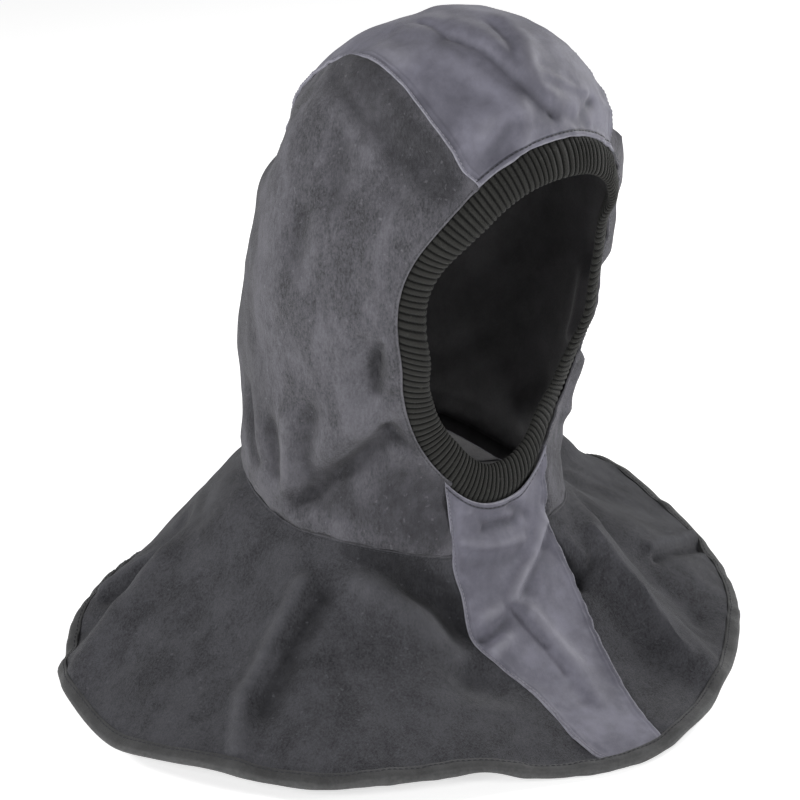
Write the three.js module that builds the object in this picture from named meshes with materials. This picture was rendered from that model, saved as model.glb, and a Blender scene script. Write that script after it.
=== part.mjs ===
// A soft cloth hood with a shoulder cape, as worn under a welder's mask.
// Millimetres, +Z up, the face looks along -Y and +X is the wearer's left.
// The origin is the inside of the crown, where the hood sits on the head.
import * as THREE from 'three';

// Cloth walls and seams
const CLOTH_WALL = 1.8;
const FACING_WALL = 1.4;
const SEAM_GAP = 0.3;
const RIM_BEVEL = 0.9;

// Knitted band round the face
const KNIT_DEPTH = 3.4;
const KNIT_SWELL = 1.2;
const KNIT_RIBS = 150;
const RIB_RELIEF = 0.45;
const KNIT_BEVEL = 6;
const KNIT_GAP = 0.6;

// Bound edge of the cape
const BINDING_HEIGHT = 7;
const BINDING_WALL = 1.1;
const BINDING_EASE = 0.35;
const CAPE_LENGTH = 150;
const BINDING_START = 1 - BINDING_HEIGHT / CAPE_LENGTH;

// Ring where the hood is sewn to the cape
const NECK_HALF = 84;
const NECK_FRONT = -54;
const NECK_BACK = 105;
const NECK_SQUARENESS = 2.3;
const NAPE_ANGLE = 157;

// Front strip at its top edge
const STRIP_TOP_HALF = 37;
const STRIP_TOP_Y = -54;
const STRIP_TOP_Z = -266;
const STRIP_TOP_RISE = 17;
const STRIP_TOP_BOW = 5;

// Side panel rows: share of the front edge along the crown seam, then along the face
const CROWN_SHARE = 0.3;
const FACE_SHARE = 0.86;
const CROWN_MEETING = 0.45;
const SIDE_FIRST_ROW = 0.012;
const SIDE_FULLNESS = 1.05;
const SIDE_NECK_BLEND = 0.6;
const CROWN_ROUNDNESS = 2.35;
const SEAT_LIFT = 6;

// Grid sizes
const CROWN_CELLS = [22, 12];
const SIDE_COLUMNS = 13;
const SIDE_ROWS = [5, 15, 3];
const STRIP_CELLS = 6;
const CAPE_CELLS = 76;

// Middle line of the crown panel from the forehead to the nape
const crownLine = table(['s', 'y', 'z', 'half', 'drop', 'lag'], [
  [0.00, -90.5, -60.5, 51, 12, 14],
  [0.10, -84.0, -38.0, 56.5, 19.5, 12.5],
  [0.20, -65.0, -16.0, 58.5, 26, 7.5],
  [0.31, -37.0, -5.5, 57.5, 24, 3.5],
  [0.43, 3.0, -9.0, 54, 14, 1],
  [0.55, 42.0, -26.0, 49.5, 14.5, -3.5],
  [0.67, 75.0, -56.0, 44, 18, -3.5],
  [0.79, 101.0, -110.0, 38, 16, 0],
  [0.90, 118.0, -186.0, 35, 11, 0],
  [1.00, 106.0, -252.0, 34, 9, 0],
]);

// Seam of the knitted band beside the face, from the crown corner to the strip corner
const faceSeam = table(['s', 'x', 'y', 'z'], [
  [0.00, 51, -82.8, -77.2],
  [0.14, 67, -72, -98],
  [0.26, 74, -60, -117],
  [0.36, 78, -54, -135],
  [0.46, 78, -52, -153],
  [0.58, 75, -52, -173],
  [0.70, 70, -48, -193],
  [0.82, 60, -45, -216],
  [0.91, 50, -46, -233],
  [1.00, 37, -49, -249],
]);

// Direction across the knitted band and its width, from the top middle to the bottom middle
const knitLean = table(['s', 'x', 'y', 'z', 'width'], [
  [0.00, 0.00, -0.25, -0.97, 20],
  [0.20, -0.45, -0.35, -0.82, 19],
  [0.45, -0.82, -0.50, 0.00, 16],
  [0.70, -0.80, -0.40, 0.45, 17],
  [0.85, -0.50, -0.10, 0.85, 20.5],
  [1.00, 0.00, 0.10, 1.00, 21.5],
]);
const KNIT_CORNERS = [0.2, 0.85];

// Rows of a side panel: where each meets the back seam, and its middle
const sideRows = table(['v', 'back', 'half', 'y'], [
  [0.00, 0.45, 53, 4],
  [0.12, 0.56, 72, 3],
  [0.25, 0.63, 84, 8],
  [0.40, 0.72, 94, 20],
  [0.55, 0.80, 97, 26],
  [0.70, 0.87, 95, 31],
  [0.85, 0.94, 90, 32],
  [1.00, 1.00, 85, 28],
]);

// Neck ring: height and how far it bulges outwards, angle from the front to the wearer's left
const neckRing = table(['angle', 'z', 'bulge'], [
  [0, -291, 0],
  [24, -290, 1],
  [48, -287, 8],
  [90, -279, 2],
  [135, -262, 0],
  [180, -253, 0],
  [225, -260, 0],
  [270, -278, 0],
  [292, -280, -1],
  [315, -284, -1],
  [338, -290, 0],
], 360);

// Hem of the cape: reach from the axis, height, and how far the cloth sags below a straight drop
const hemLine = table(['angle', 'reach', 'z', 'sag'], [
  [0, 160, -381, 0.30],
  [30, 164, -375, 0.22],
  [48, 173, -369, 0.10],
  [61, 184, -366, 0.00],
  [71, 193, -360, 0.00],
  [80, 199, -354, 0.05],
  [88, 201, -347, 0.12],
  [96, 207, -335, 0.12],
  [104, 214, -326, -0.04],
  [113, 212, -332, -0.20],
  [135, 207, -345, -0.28],
  [158, 199, -348, -0.14],
  [180, 192, -347, -0.06],
  [202, 186, -347, 0.00],
  [218, 196, -352, 0.05],
  [232, 207, -361, 0.05],
  [247, 206, -368, 0.00],
  [259, 205, -371, 0.02],
  [268, 197, -370, 0.05],
  [280, 185, -371, 0.08],
  [296, 175, -369, 0.12],
  [311, 159, -370, 0.16],
  [325, 148, -372, 0.20],
  [342, 151, -379, 0.26],
], 360);

// Half width of the front strip on the wearer's right and left, from the neck to the hem
const stripHalf = table(['t', 'right', 'left'], [
  [0.00, 30, 37.5],
  [0.16, 29.5, 41],
  [0.34, 33, 40.5],
  [0.48, 27, 37],
  [0.60, 22, 33],
  [0.75, 22, 26.5],
  [0.88, 23.5, 21],
  [1.00, 20, 16],
]);

// Folds of the cape: angle at the neck and at the hem, width, height, and the span they run over
const CAPE_FOLDS = [
  { neck: 47, hem: 31, width: 13, height: 9, from: 0.0, to: 0.9 },
  { neck: 62, hem: 48, width: 17, height: -9, from: 0.05, to: 0.8 },
  { neck: 100, hem: 88, width: 20, height: 5, from: 0.40, to: 1.0 },
  { neck: 118, hem: 112, width: 34, height: 8, from: 0.0, to: 0.6 },
  { neck: 150, hem: 150, width: 20, height: 6, from: 0.30, to: 1.0 },
  { neck: 180, hem: 182, width: 22, height: -5, from: 0.30, to: 1.0 },
  { neck: 214, hem: 231, width: 17, height: -7, from: 0.30, to: 1.0 },
  { neck: 230, hem: 245, width: 16, height: 8, from: 0.25, to: 0.9 },
  { neck: 262, hem: 258, width: 22, height: -4, from: 0.30, to: 1.0 },
  { neck: 289, hem: 277, width: 20, height: 5, from: 0.10, to: 0.95 },
  { neck: 304, hem: 296, width: 24, height: -4, from: 0.15, to: 1.0 },
  { neck: 328, hem: 341, width: 17, height: -10, from: -0.10, to: 0.50 },
];
const FOLD_FADE = 0.2;
const NECK_FADE = 24;

// Dents and ridges of the panels: points of the line, width and height outwards
const PANEL_FOLDS = [
  { line: [[-84, -36, -164], [-82, -33, -194]], width: 7, height: -5 },
  { line: [[-74, -28, -230], [-88, 10, -260]], width: 11, height: -6 },
  { line: [[-80, 40, -225], [-80, 45, -275]], width: 9, height: 4 },
  { line: [[-66, 78, -235], [-66, 80, -268]], width: 10, height: -4 },
  { line: [[84, -36, -166], [81, -33, -196]], width: 8, height: -4 },
  { line: [[75, -27, -230], [88, 10, -258]], width: 11, height: -5 },
  { line: [[74, -35, -208], [68, -32, -234]], width: 8, height: 8 },
  { line: [[60, -67, -78], [72, -60, -92], [81, -49, -113], [86, -40, -146]], width: 9, height: 9 },
  { line: [[-60, -67, -78], [-72, -60, -92], [-80, -50, -110], [-84, -43, -127]], width: 9, height: 3 },
  { line: [[0, -88, -55], [0, -60, 0]], width: 10, height: 1.2 },
  { line: [[0, -60, 0], [4, 0, -4]], width: 10, height: 1.4 },
  { line: [[-26, -72, -26], [-40, -64, -24]], width: 12, height: -3 },
  { line: [[-74, 44, -72], [-30, 84, -80]], width: 14, height: -8 },
];

// A short table read by column name, with smooth curves between its rows
function table(names, rows, period) {
  const keys = rows.map((row) => row[0]);
  const wrap = (i) => ((i % rows.length) + rows.length) % rows.length;
  const keyAt = (i) => keys[wrap(i)] + (period || 0) * Math.floor(i / rows.length);
  const last = period ? rows.length : rows.length - 1;
  return (name, position) => {
    const column = names.indexOf(name);
    const valueAt = (i) => rows[wrap(i)][column];
    let at = position;
    if (period) at = keys[0] + ((((at - keys[0]) % period) + period) % period);
    let i = 0;
    while (i < last - 1 && at >= keyAt(i + 1)) i += 1;
    const slope = (k) => {
      const lo = period ? k - 1 : Math.max(k - 1, 0);
      const hi = period ? k + 1 : Math.min(k + 1, rows.length - 1);
      return (valueAt(hi) - valueAt(lo)) / (keyAt(hi) - keyAt(lo));
    };
    const step = keyAt(i + 1) - keyAt(i);
    const t = THREE.MathUtils.clamp((at - keyAt(i)) / step, 0, 1);
    const start = (1 + 2 * t) * (1 - t) ** 2 * valueAt(i) + t * (1 - t) ** 2 * step * slope(i);
    return start + t * t * (3 - 2 * t) * valueAt(i + 1) + t * t * (t - 1) * step * slope(i + 1);
  };
}

function vec(x, y, z) {
  return new THREE.Vector3(x, y, z);
}

function ease(t) {
  const k = THREE.MathUtils.clamp(t, 0, 1);
  return k * k * (3 - 2 * k);
}

function spaced(count, from, to) {
  return Array.from({ length: count + 1 }, (_, i) => from + ((to - from) * i) / count);
}

// Outward normal of a surface function at one point
function normalOf(surface, u, v, turn) {
  const d = 0.004;
  const du = surface(u + d, v).sub(surface(u - d, v));
  const dv = surface(u, v + d).sub(surface(u, v - d));
  return du.cross(dv).multiplyScalar(turn).normalize();
}

// Height of the panel folds near a point
function panelFold(point) {
  let height = 0;
  for (const fold of PANEL_FOLDS) {
    const away = fold.line.slice(1).map((end, i) => {
      const stretch = new THREE.Line3(vec(...fold.line[i]), vec(...end));
      return stretch.closestPointToPoint(point, true, vec(0, 0, 0)).distanceTo(point);
    });
    height += fold.height * Math.exp(-((Math.min(...away) / fold.width) ** 2));
  }
  const angle = THREE.MathUtils.radToDeg(Math.atan2(point.x, (NECK_FRONT + NECK_BACK) / 2 - point.y));
  return height * ease((point.z - neckRing('z', angle)) / NECK_FADE);
}

function crownMiddle(s) {
  return vec(0, crownLine('y', s), crownLine('z', s));
}

// Crown panel, s from the forehead to the nape and q from the right seam to the left seam
function crown(s, q) {
  const d = 0.002;
  const along = crownMiddle(Math.min(s + d, 1)).sub(crownMiddle(Math.max(s - d, 0))).normalize();
  const out = vec(0, -along.z, along.y);
  const bend = Math.abs(q) ** CROWN_ROUNDNESS;
  const point = crownMiddle(s);
  point.x += q * crownLine('half', s);
  point.addScaledVector(out, -crownLine('drop', s) * bend);
  point.addScaledVector(along, -crownLine('lag', s) * bend);
  const nape = neck(180 - q * (180 - NAPE_ANGLE));
  return point.lerp(nape, ease((s - 0.85) / 0.15));
}

function neck(angle) {
  const turn = THREE.MathUtils.degToRad(angle);
  const c = Math.cos(turn);
  const s = Math.sin(turn);
  const power = NECK_SQUARENESS;
  const round = (Math.abs(c) ** power + Math.abs(s) ** power) ** (-1 / power);
  const middle = (NECK_FRONT + NECK_BACK) / 2;
  const reach = (NECK_BACK - NECK_FRONT) / 2;
  const bulge = neckRing('bulge', angle);
  const x = NECK_HALF * s * round + bulge * s;
  return vec(x, middle - reach * c * round - bulge * c, neckRing('z', angle));
}

// Cape without folds, t from the neck to the hem
function plainCape(angle, t) {
  const turn = THREE.MathUtils.degToRad(angle);
  const reach = hemLine('reach', angle);
  const top = neck(angle);
  const hem = vec(reach * Math.sin(turn), -reach * Math.cos(turn), hemLine('z', angle));
  const sag = hemLine('sag', angle);
  const bend = top.clone().lerp(hem, 0.5 - sag);
  bend.z = top.z + (0.5 + sag) * (hem.z - top.z);
  const point = top.multiplyScalar((1 - t) ** 2);
  return point.addScaledVector(bend, 2 * t * (1 - t)).addScaledVector(hem, t * t);
}

function capeFold(angle, t, radius) {
  let height = 0;
  for (const fold of CAPE_FOLDS) {
    const middle = fold.neck + (fold.hem - fold.neck) * t;
    const away = ((((angle - middle + 180) % 360) + 360) % 360) - 180;
    const distance = THREE.MathUtils.degToRad(away) * radius;
    const start = THREE.MathUtils.clamp((t - fold.from) / FOLD_FADE, 0, 1);
    const end = THREE.MathUtils.clamp((fold.to + FOLD_FADE - t) / FOLD_FADE, 0, 1);
    height += fold.height * Math.exp(-((distance / fold.width) ** 2)) * ease(start * end);
  }
  return height;
}

function cape(angle, t) {
  const point = plainCape(angle, t);
  const out = normalOf((a, s) => plainCape(a * 100, s), angle / 100, t, -1);
  return point.addScaledVector(out, capeFold(angle, t, Math.hypot(point.x, point.y)));
}

// Angle at which the cape is as far from the middle as half the strip
function stripAngle(t, side) {
  const half = stripHalf(side < 0 ? 'right' : 'left', t);
  let low = 0;
  let high = 70;
  for (let i = 0; i < 32; i += 1) {
    const middle = (low + high) / 2;
    if (Math.abs(cape(side * middle, t).x) > half) high = middle;
    else low = middle;
  }
  return side * low;
}

// Front strip: q across, t from 0 at the face to 1 at the neck and 2 at the hem
function strip(q, t) {
  const down = Math.max(t - 1, 0);
  const low = cape(Math.abs(q) * stripAngle(down, q < 0 ? -1 : 1), down);
  if (t >= 1) return low;
  const rise = STRIP_TOP_RISE * Math.abs(q) ** CROWN_ROUNDNESS;
  const top = vec(q * STRIP_TOP_HALF, STRIP_TOP_Y + STRIP_TOP_BOW * q * q, STRIP_TOP_Z + rise);
  return top.lerp(low, t);
}

// Front edge of a side panel: crown seam, face seam, then strip edge
function sideFront(v, side) {
  if (v < CROWN_SHARE) return crown(CROWN_MEETING * (1 - v / CROWN_SHARE), side);
  if (v > FACE_SHARE) return strip(side, (v - FACE_SHARE) / (1 - FACE_SHARE));
  const s = (v - CROWN_SHARE) / (FACE_SHARE - CROWN_SHARE);
  return vec(side * faceSeam('x', s), faceSeam('y', s), faceSeam('z', s));
}

// One row of a side panel as a rounded arc from its front edge to its back seam
function sideArc(u, v, side) {
  const front = sideFront(v, side);
  const back = crown(sideRows('back', v), side);
  const full = SIDE_FULLNESS;
  const middle = vec(side * sideRows('half', v), sideRows('y', v), (front.z + back.z) / 2);
  const pull = middle.multiplyScalar(2 + 2 * full).sub(front).sub(back).divideScalar(2 * full);
  const weights = [(1 - u) ** 2, 2 * full * u * (1 - u), u * u];
  const total = weights[0] + weights[1] + weights[2];
  const point = front.multiplyScalar(weights[0]);
  return point.addScaledVector(pull, weights[1]).addScaledVector(back, weights[2]).divideScalar(total);
}

function sidePanel(u, v, side) {
  const first = stripAngle(0, side);
  const ring = neck(first + (side * NAPE_ANGLE - first) * u);
  const share = ease((v - SIDE_NECK_BLEND) / (1 - SIDE_NECK_BLEND));
  return sideArc(u, v, side).addScaledVector(ring.sub(sideArc(u, 1, side)), share);
}

// Points of a surface over a list of rows, with the panel folds raised along its normal
function folded(surface, us, vs, turn) {
  const inside = (value, list) => THREE.MathUtils.clamp(value, list[0] + 0.005, list.at(-1) - 0.005);
  return us.map((u) => vs.map((v) => {
    const point = surface(u, v);
    const out = normalOf(surface, inside(u, us), inside(v, vs), turn);
    return point.addScaledVector(out, panelFold(point));
  }));
}

// Draw the border points of a grid inwards by a set distance
function drawIn(grid, distance) {
  const pull = (point, next) => point.addScaledVector(next.clone().sub(point).normalize(), distance);
  const columns = grid.length;
  const rows = grid[0].length;
  for (let j = 0; j < rows; j += 1) {
    pull(grid[0][j], grid[1][j]);
    pull(grid[columns - 1][j], grid[columns - 2][j]);
  }
  for (let i = 0; i < columns; i += 1) {
    pull(grid[i][0], grid[i][1]);
    pull(grid[i][rows - 1], grid[i][rows - 2]);
  }
  return grid;
}

// Inner face of a cloth wall
function innerFace(outer, wall, turn) {
  const last = [outer.length - 1, outer[0].length - 1];
  const pick = (i, j) => outer[THREE.MathUtils.clamp(i, 0, last[0])][THREE.MathUtils.clamp(j, 0, last[1])];
  return outer.map((line, i) => line.map((point, j) => {
    const du = pick(i + 1, j).clone().sub(pick(i - 1, j));
    const dv = pick(i, j + 1).clone().sub(pick(i, j - 1));
    return point.clone().addScaledVector(du.cross(dv).normalize(), -wall * turn);
  }));
}

// Closed cloth wall: outer face from the grid, inner face set in by the wall
function clothWall(outer, wall, turn) {
  const columns = outer.length;
  const rows = outer[0].length;
  const inner = drawIn(innerFace(outer, wall, turn), RIM_BEVEL);
  const points = [...outer.flat(), ...inner.flat()];
  const front = (i, j) => i * rows + j;
  const back = (i, j) => columns * rows + i * rows + j;
  const faces = [];
  const quad = (a, b, c, d) => faces.push(...(turn > 0 ? [a, b, c, a, c, d] : [a, c, b, a, d, c]));
  for (let i = 0; i < columns - 1; i += 1) {
    for (let j = 0; j < rows - 1; j += 1) {
      quad(front(i, j), front(i + 1, j), front(i + 1, j + 1), front(i, j + 1));
      quad(back(i, j + 1), back(i + 1, j + 1), back(i + 1, j), back(i, j));
    }
    quad(front(i, 0), back(i, 0), back(i + 1, 0), front(i + 1, 0));
    quad(front(i, rows - 1), front(i + 1, rows - 1), back(i + 1, rows - 1), back(i, rows - 1));
  }
  for (let j = 0; j < rows - 1; j += 1) {
    quad(front(0, j), front(0, j + 1), back(0, j + 1), back(0, j));
    quad(front(columns - 1, j), back(columns - 1, j), back(columns - 1, j + 1), front(columns - 1, j + 1));
  }
  return solid(points, faces);
}

// Closed ring from a list of sections with the same number of points
function ringWall(sections) {
  const count = sections[0].length;
  const faces = [];
  sections.forEach((_, i) => {
    const next = (i + 1) % sections.length;
    for (let k = 0; k < count; k += 1) {
      const k2 = (k + 1) % count;
      const [a, b, c, d] = [i * count + k, next * count + k, next * count + k2, i * count + k2];
      faces.push(a, b, c, a, c, d);
    }
  });
  return solid(sections.flat(), faces);
}

function solid(points, faces) {
  const geometry = new THREE.BufferGeometry();
  const positions = points.flatMap((point) => [point.x, point.y, point.z]);
  geometry.setAttribute('position', new THREE.Float32BufferAttribute(positions, 3));
  geometry.setIndex(faces);
  geometry.computeVertexNormals();
  return geometry;
}

// Seam of the knitted band on the wearer's left, from the top middle to the bottom middle
function knitSeam(s) {
  const [top, bottom] = KNIT_CORNERS;
  if (s < top) return crown(0, s / top);
  if (s > bottom) return strip((1 - s) / (1 - bottom), 0);
  return sideFront(CROWN_SHARE + ((s - top) / (bottom - top)) * (FACE_SHARE - CROWN_SHARE), 1);
}

// Knitted band: sections at even steps round the face, every second one on a rib
function knitSections() {
  const stations = 300;
  const mirror = (point) => vec(-point.x, point.y, point.z);
  const left = spaced(stations, 0, 1).map((s) => ({
    seam: knitSeam(s),
    lean: vec(knitLean('x', s), knitLean('y', s), knitLean('z', s)).normalize(),
    width: knitLean('width', s),
  }));
  const right = left.slice(1, -1).reverse().map((p) => (
    { seam: mirror(p.seam), lean: mirror(p.lean), width: p.width }
  ));
  const loop = [...left, ...right, left[0]];
  const lengths = [0];
  for (let i = 1; i < loop.length; i += 1) {
    lengths.push(lengths[i - 1] + loop[i].seam.distanceTo(loop[i - 1].seam));
  }
  const at = (distance) => {
    const total = lengths.at(-1);
    const place = ((distance % total) + total) % total;
    let i = 0;
    while (lengths[i + 1] < place) i += 1;
    const share = (place - lengths[i]) / (lengths[i + 1] - lengths[i]);
    const seam = loop[i].seam.clone().lerp(loop[i + 1].seam, share);
    const lean = loop[i].lean.clone().lerp(loop[i + 1].lean, share).normalize();
    return { seam, lean, width: THREE.MathUtils.lerp(loop[i].width, loop[i + 1].width, share) };
  };
  const count = KNIT_RIBS * 2;
  const pitch = lengths.at(-1) / count;
  return spaced(count - 1, 0, count - 1).map((i) => {
    const { seam, lean, width } = at(i * pitch);
    const along = at((i + 2) * pitch).seam.sub(at((i - 2) * pitch).seam).normalize();
    const out = lean.clone().cross(along).normalize();
    const relief = i % 2 ? RIB_RELIEF : -RIB_RELIEF;
    const place = (across, height) => (
      seam.clone().addScaledVector(lean, across).addScaledVector(out, height)
    );
    return [
      place(KNIT_BEVEL, -KNIT_DEPTH),
      place(width - RIM_BEVEL, -KNIT_DEPTH),
      place(width, relief),
      place(width * 0.5, KNIT_SWELL + relief),
      place(KNIT_GAP, relief / 2),
    ];
  });
}

// Binding: a folded tape over the last two rows of a grid, one section for each column
function bindingSections(grid) {
  const inner = innerFace(grid, CLOTH_WALL, -1);
  const [near, far] = [BINDING_EASE, BINDING_EASE + BINDING_WALL];
  return grid.map((line, i) => {
    const [upper, edge] = line.slice(-2);
    const [upperIn, edgeIn] = inner[i].slice(-2);
    const outUp = upper.clone().sub(upperIn).normalize();
    const outLow = edge.clone().sub(edgeIn).normalize();
    const down = edge.clone().sub(upper).normalize();
    const top = (height) => upper.clone().addScaledVector(outUp, height);
    const low = (height, drop) => edge.clone().addScaledVector(outLow, height).addScaledVector(down, drop);
    return [
      top(near),
      low(near, near),
      low(-CLOTH_WALL - near, near),
      top(-CLOTH_WALL - near),
      top(-CLOTH_WALL - far),
      low(-CLOTH_WALL - far, far),
      low(far, far),
      top(far),
    ];
  });
}

function piece(name, geometry, color) {
  const material = new THREE.MeshStandardMaterial({ color, roughness: 0.95, metalness: 0 });
  const mesh = new THREE.Mesh(geometry, material);
  mesh.name = name;
  return mesh;
}

const FACING_COLOR = 0x767582;
const CLOTH_COLOR = 0x525256;
const KNIT_COLOR = 0x343432;
const BINDING_COLOR = 0x3e3e40;

const hood = new THREE.Group();
hood.name = 'welding_hood';

// Crown panel over the head
const crownGrid = folded(crown, spaced(CROWN_CELLS[0], 0, 1), spaced(CROWN_CELLS[1], -1, 1), -1);
hood.add(piece('crown_panel', clothWall(drawIn(crownGrid, SEAM_GAP), FACING_WALL, -1), FACING_COLOR));

// Side panels
for (const side of [-1, 1]) {
  const rows = [
    ...spaced(SIDE_ROWS[0], SIDE_FIRST_ROW, CROWN_SHARE).slice(0, -1),
    ...spaced(SIDE_ROWS[1], CROWN_SHARE, FACE_SHARE).slice(0, -1),
    ...spaced(SIDE_ROWS[2], FACE_SHARE, 1),
  ];
  const surface = (u, v) => sidePanel(u, v, side);
  const grid = folded(surface, spaced(SIDE_COLUMNS, 0, 1), rows, -side);
  const name = side < 0 ? 'side_panel_right' : 'side_panel_left';
  hood.add(piece(name, clothWall(drawIn(grid, SEAM_GAP), CLOTH_WALL, -side), CLOTH_COLOR));
}

// Front strip from the face to the hem
const capeRows = [...spaced(8, 0, 0.92), BINDING_START, 1];
const stripRows = [...spaced(3, 0, 1).slice(0, -1), ...capeRows.map((t) => 1 + t)];
const stripGrid = spaced(STRIP_CELLS, -1, 1).map((q) => stripRows.map((t) => strip(q, t)));
hood.add(piece('front_strip', clothWall(drawIn(stripGrid, SEAM_GAP), FACING_WALL, -1), FACING_COLOR));

// Cape from one edge of the strip round the back to the other
const capeAngle = (share, t) => {
  const start = stripAngle(t, 1);
  return start + (360 + stripAngle(t, -1) - start) * share;
};
const capeShares = spaced(CAPE_CELLS, 0, 1);
const capeGrid = capeShares.map((share) => capeRows.map((t) => cape(capeAngle(share, t), t)));
hood.add(piece('cape', clothWall(drawIn(capeGrid, SEAM_GAP), CLOTH_WALL, -1), CLOTH_COLOR));

// Binding round the whole hem
const hemRing = ringWall([...bindingSections(stripGrid), ...bindingSections(capeGrid).slice(1, -1)]);
hood.add(piece('hem_binding', hemRing, BINDING_COLOR));

// Knitted band round the face
hood.add(piece('face_rib', ringWall(knitSections()), KNIT_COLOR));

// Raised so that the inside of the crown is at the origin
hood.position.z = SEAT_LIFT;

export default hood;
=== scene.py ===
import math

import bpy
import numpy as np
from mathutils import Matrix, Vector


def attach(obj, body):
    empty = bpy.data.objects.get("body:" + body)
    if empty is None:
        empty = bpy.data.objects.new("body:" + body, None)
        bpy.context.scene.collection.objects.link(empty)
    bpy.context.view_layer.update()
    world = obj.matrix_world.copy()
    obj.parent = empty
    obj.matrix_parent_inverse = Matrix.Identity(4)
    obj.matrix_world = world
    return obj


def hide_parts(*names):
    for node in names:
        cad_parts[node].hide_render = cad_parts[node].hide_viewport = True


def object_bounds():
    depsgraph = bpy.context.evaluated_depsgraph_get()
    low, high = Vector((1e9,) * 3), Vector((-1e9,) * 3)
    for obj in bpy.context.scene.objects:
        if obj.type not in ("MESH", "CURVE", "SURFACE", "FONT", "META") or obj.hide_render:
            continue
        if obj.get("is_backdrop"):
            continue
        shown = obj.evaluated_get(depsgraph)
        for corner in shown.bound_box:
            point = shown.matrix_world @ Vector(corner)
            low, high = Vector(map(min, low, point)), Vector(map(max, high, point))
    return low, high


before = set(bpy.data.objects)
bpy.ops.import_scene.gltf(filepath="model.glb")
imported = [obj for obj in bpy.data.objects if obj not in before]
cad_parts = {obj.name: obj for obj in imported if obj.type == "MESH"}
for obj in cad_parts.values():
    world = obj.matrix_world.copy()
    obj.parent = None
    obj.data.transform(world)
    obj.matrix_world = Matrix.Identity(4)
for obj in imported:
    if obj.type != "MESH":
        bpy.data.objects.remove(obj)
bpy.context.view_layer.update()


# Crown panel
# One long panel of smooth grey cotton that runs from the forehead over the head to the nape.
# Its edges are turned under, lapped over the side panels and sewn down with one row of stitches.

SEAT_LIFT = 6.0
NECK_HALF, NECK_FRONT, NECK_BACK, NECK_SQUARENESS = 84.0, -54.0, 105.0, 2.3
NAPE_ANGLE, NAPE_BLEND = 157.0, 0.85
CROWN_ROUNDNESS = 2.35
CROWN_LAP, CROWN_CORNER, CROWN_LIFT, CORNER_DIP = 1.045, 0.04, 0.8, 1.5
FACING_WALL = 1.4
STITCH_IN, FINE_STITCH_IN = 3.0, 1.5
LIP_RISE, LIP_FALL, ROLL_DEPTH, ROLL_WIDTH = 0.75, 2.5, 0.6, 0.55
GROOVE_DEPTH, GROOVE_WIDTH, NO_GROOVE = 0.55, 0.65, 4.0
TUCK_DEPTH, TUCK_WIDTH, PUCKER_LENGTH, RIM_ROUND = 1.1, 2.2, 8.5, 0.35
ALLOWANCE = ((1.5, 0.7), (3.2, 2.6), (4.8, 5.5))  # inwards and down, row by row
# The third value is the crease height in millimetres at which the painted fold light and shade is full
LAY_REACH, CREASE_DEPTH, FOLD_SHADE_FULL = 12.0, 1.5, 4.5
NEAR_EDGE = (0, 0.4, 0.9, 1.5, 2.1, 2.6, 3.0, 3.4, 3.9, 4.6, 5.6, 7.0)  # close lines beside a seam


def curve(rows, period=0):
    """Smooth columns of a short table, read at any place of its first column."""
    rows = np.array(rows, float)
    if period:
        turn = np.zeros(rows.shape[1])
        turn[0] = period
        rows = np.vstack([rows[-2:] - turn, rows, rows[:2] + turn])
    x, y = rows[:, 0], rows[:, 1:]
    before = np.maximum(np.arange(len(x)) - 1, 0)
    after = np.minimum(np.arange(len(x)) + 1, len(x) - 1)
    slope = (y[after] - y[before]) / (x[after] - x[before])[:, None]

    def read(place):
        place = np.asarray(place, float)
        if period:
            place = x[2] + (place - x[2]) % period
        i = np.clip(np.searchsorted(x, place, side="right") - 1, 0, len(x) - 2)
        step = (x[i + 1] - x[i])[..., None]
        t = np.clip((place - x[i])[..., None] / step, 0, 1)
        value = (1 + 2 * t) * (1 - t) ** 2 * y[i] + t * (1 - t) ** 2 * step * slope[i]
        value = value + t * t * (3 - 2 * t) * y[i + 1] + t * t * (t - 1) * step * slope[i + 1]
        return np.moveaxis(value, -1, 0)

    return read


def xyz(x, y, z):
    return np.stack(np.broadcast_arrays(x, y, z), -1).astype(float)


def unit(v):
    return v / np.maximum(np.linalg.norm(v, axis=-1, keepdims=True), 1e-9)


def ease(t):
    t = np.clip(t, 0, 1)
    return t * t * (3 - 2 * t)


def spread(count, length, start=True, end=True):
    """Even shares from 0 to 1, with close lines near the borders that carry a seam."""
    even = np.linspace(0, 1, count + 1)
    near = np.array(NEAR_EDGE) / length
    keep = even[(even > near[-1] * start) & (even < 1 - near[-1] * end)]
    return np.unique(np.concatenate([[0], near if start else [], keep, 1 - near if end else [], [1]]))


crown_line = curve([  # share, y, z, half width, drop and lag at the seams
    (0.00, -90.5, -60.5, 51, 12, 14),
    (0.10, -84.0, -38.0, 56.5, 19.5, 12.5),
    (0.20, -65.0, -16.0, 58.5, 26, 7.5),
    (0.31, -37.0, -5.5, 57.5, 24, 3.5),
    (0.43, 3.0, -9.0, 54, 14, 1),
    (0.55, 42.0, -26.0, 49.5, 14.5, -3.5),
    (0.67, 75.0, -56.0, 44, 18, -3.5),
    (0.79, 101.0, -110.0, 38, 16, 0),
    (0.90, 118.0, -186.0, 35, 11, 0),
    (1.00, 106.0, -252.0, 34, 9, 0),
])
neck_ring = curve([  # angle, height, bulge
    (0, -291, 0),
    (24, -290, 1),
    (48, -287, 8),
    (90, -279, 2),
    (135, -262, 0),
    (180, -253, 0),
    (225, -260, 0),
    (270, -278, 0),
    (292, -280, -1),
    (315, -284, -1),
    (338, -290, 0),
], period=360)


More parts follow.
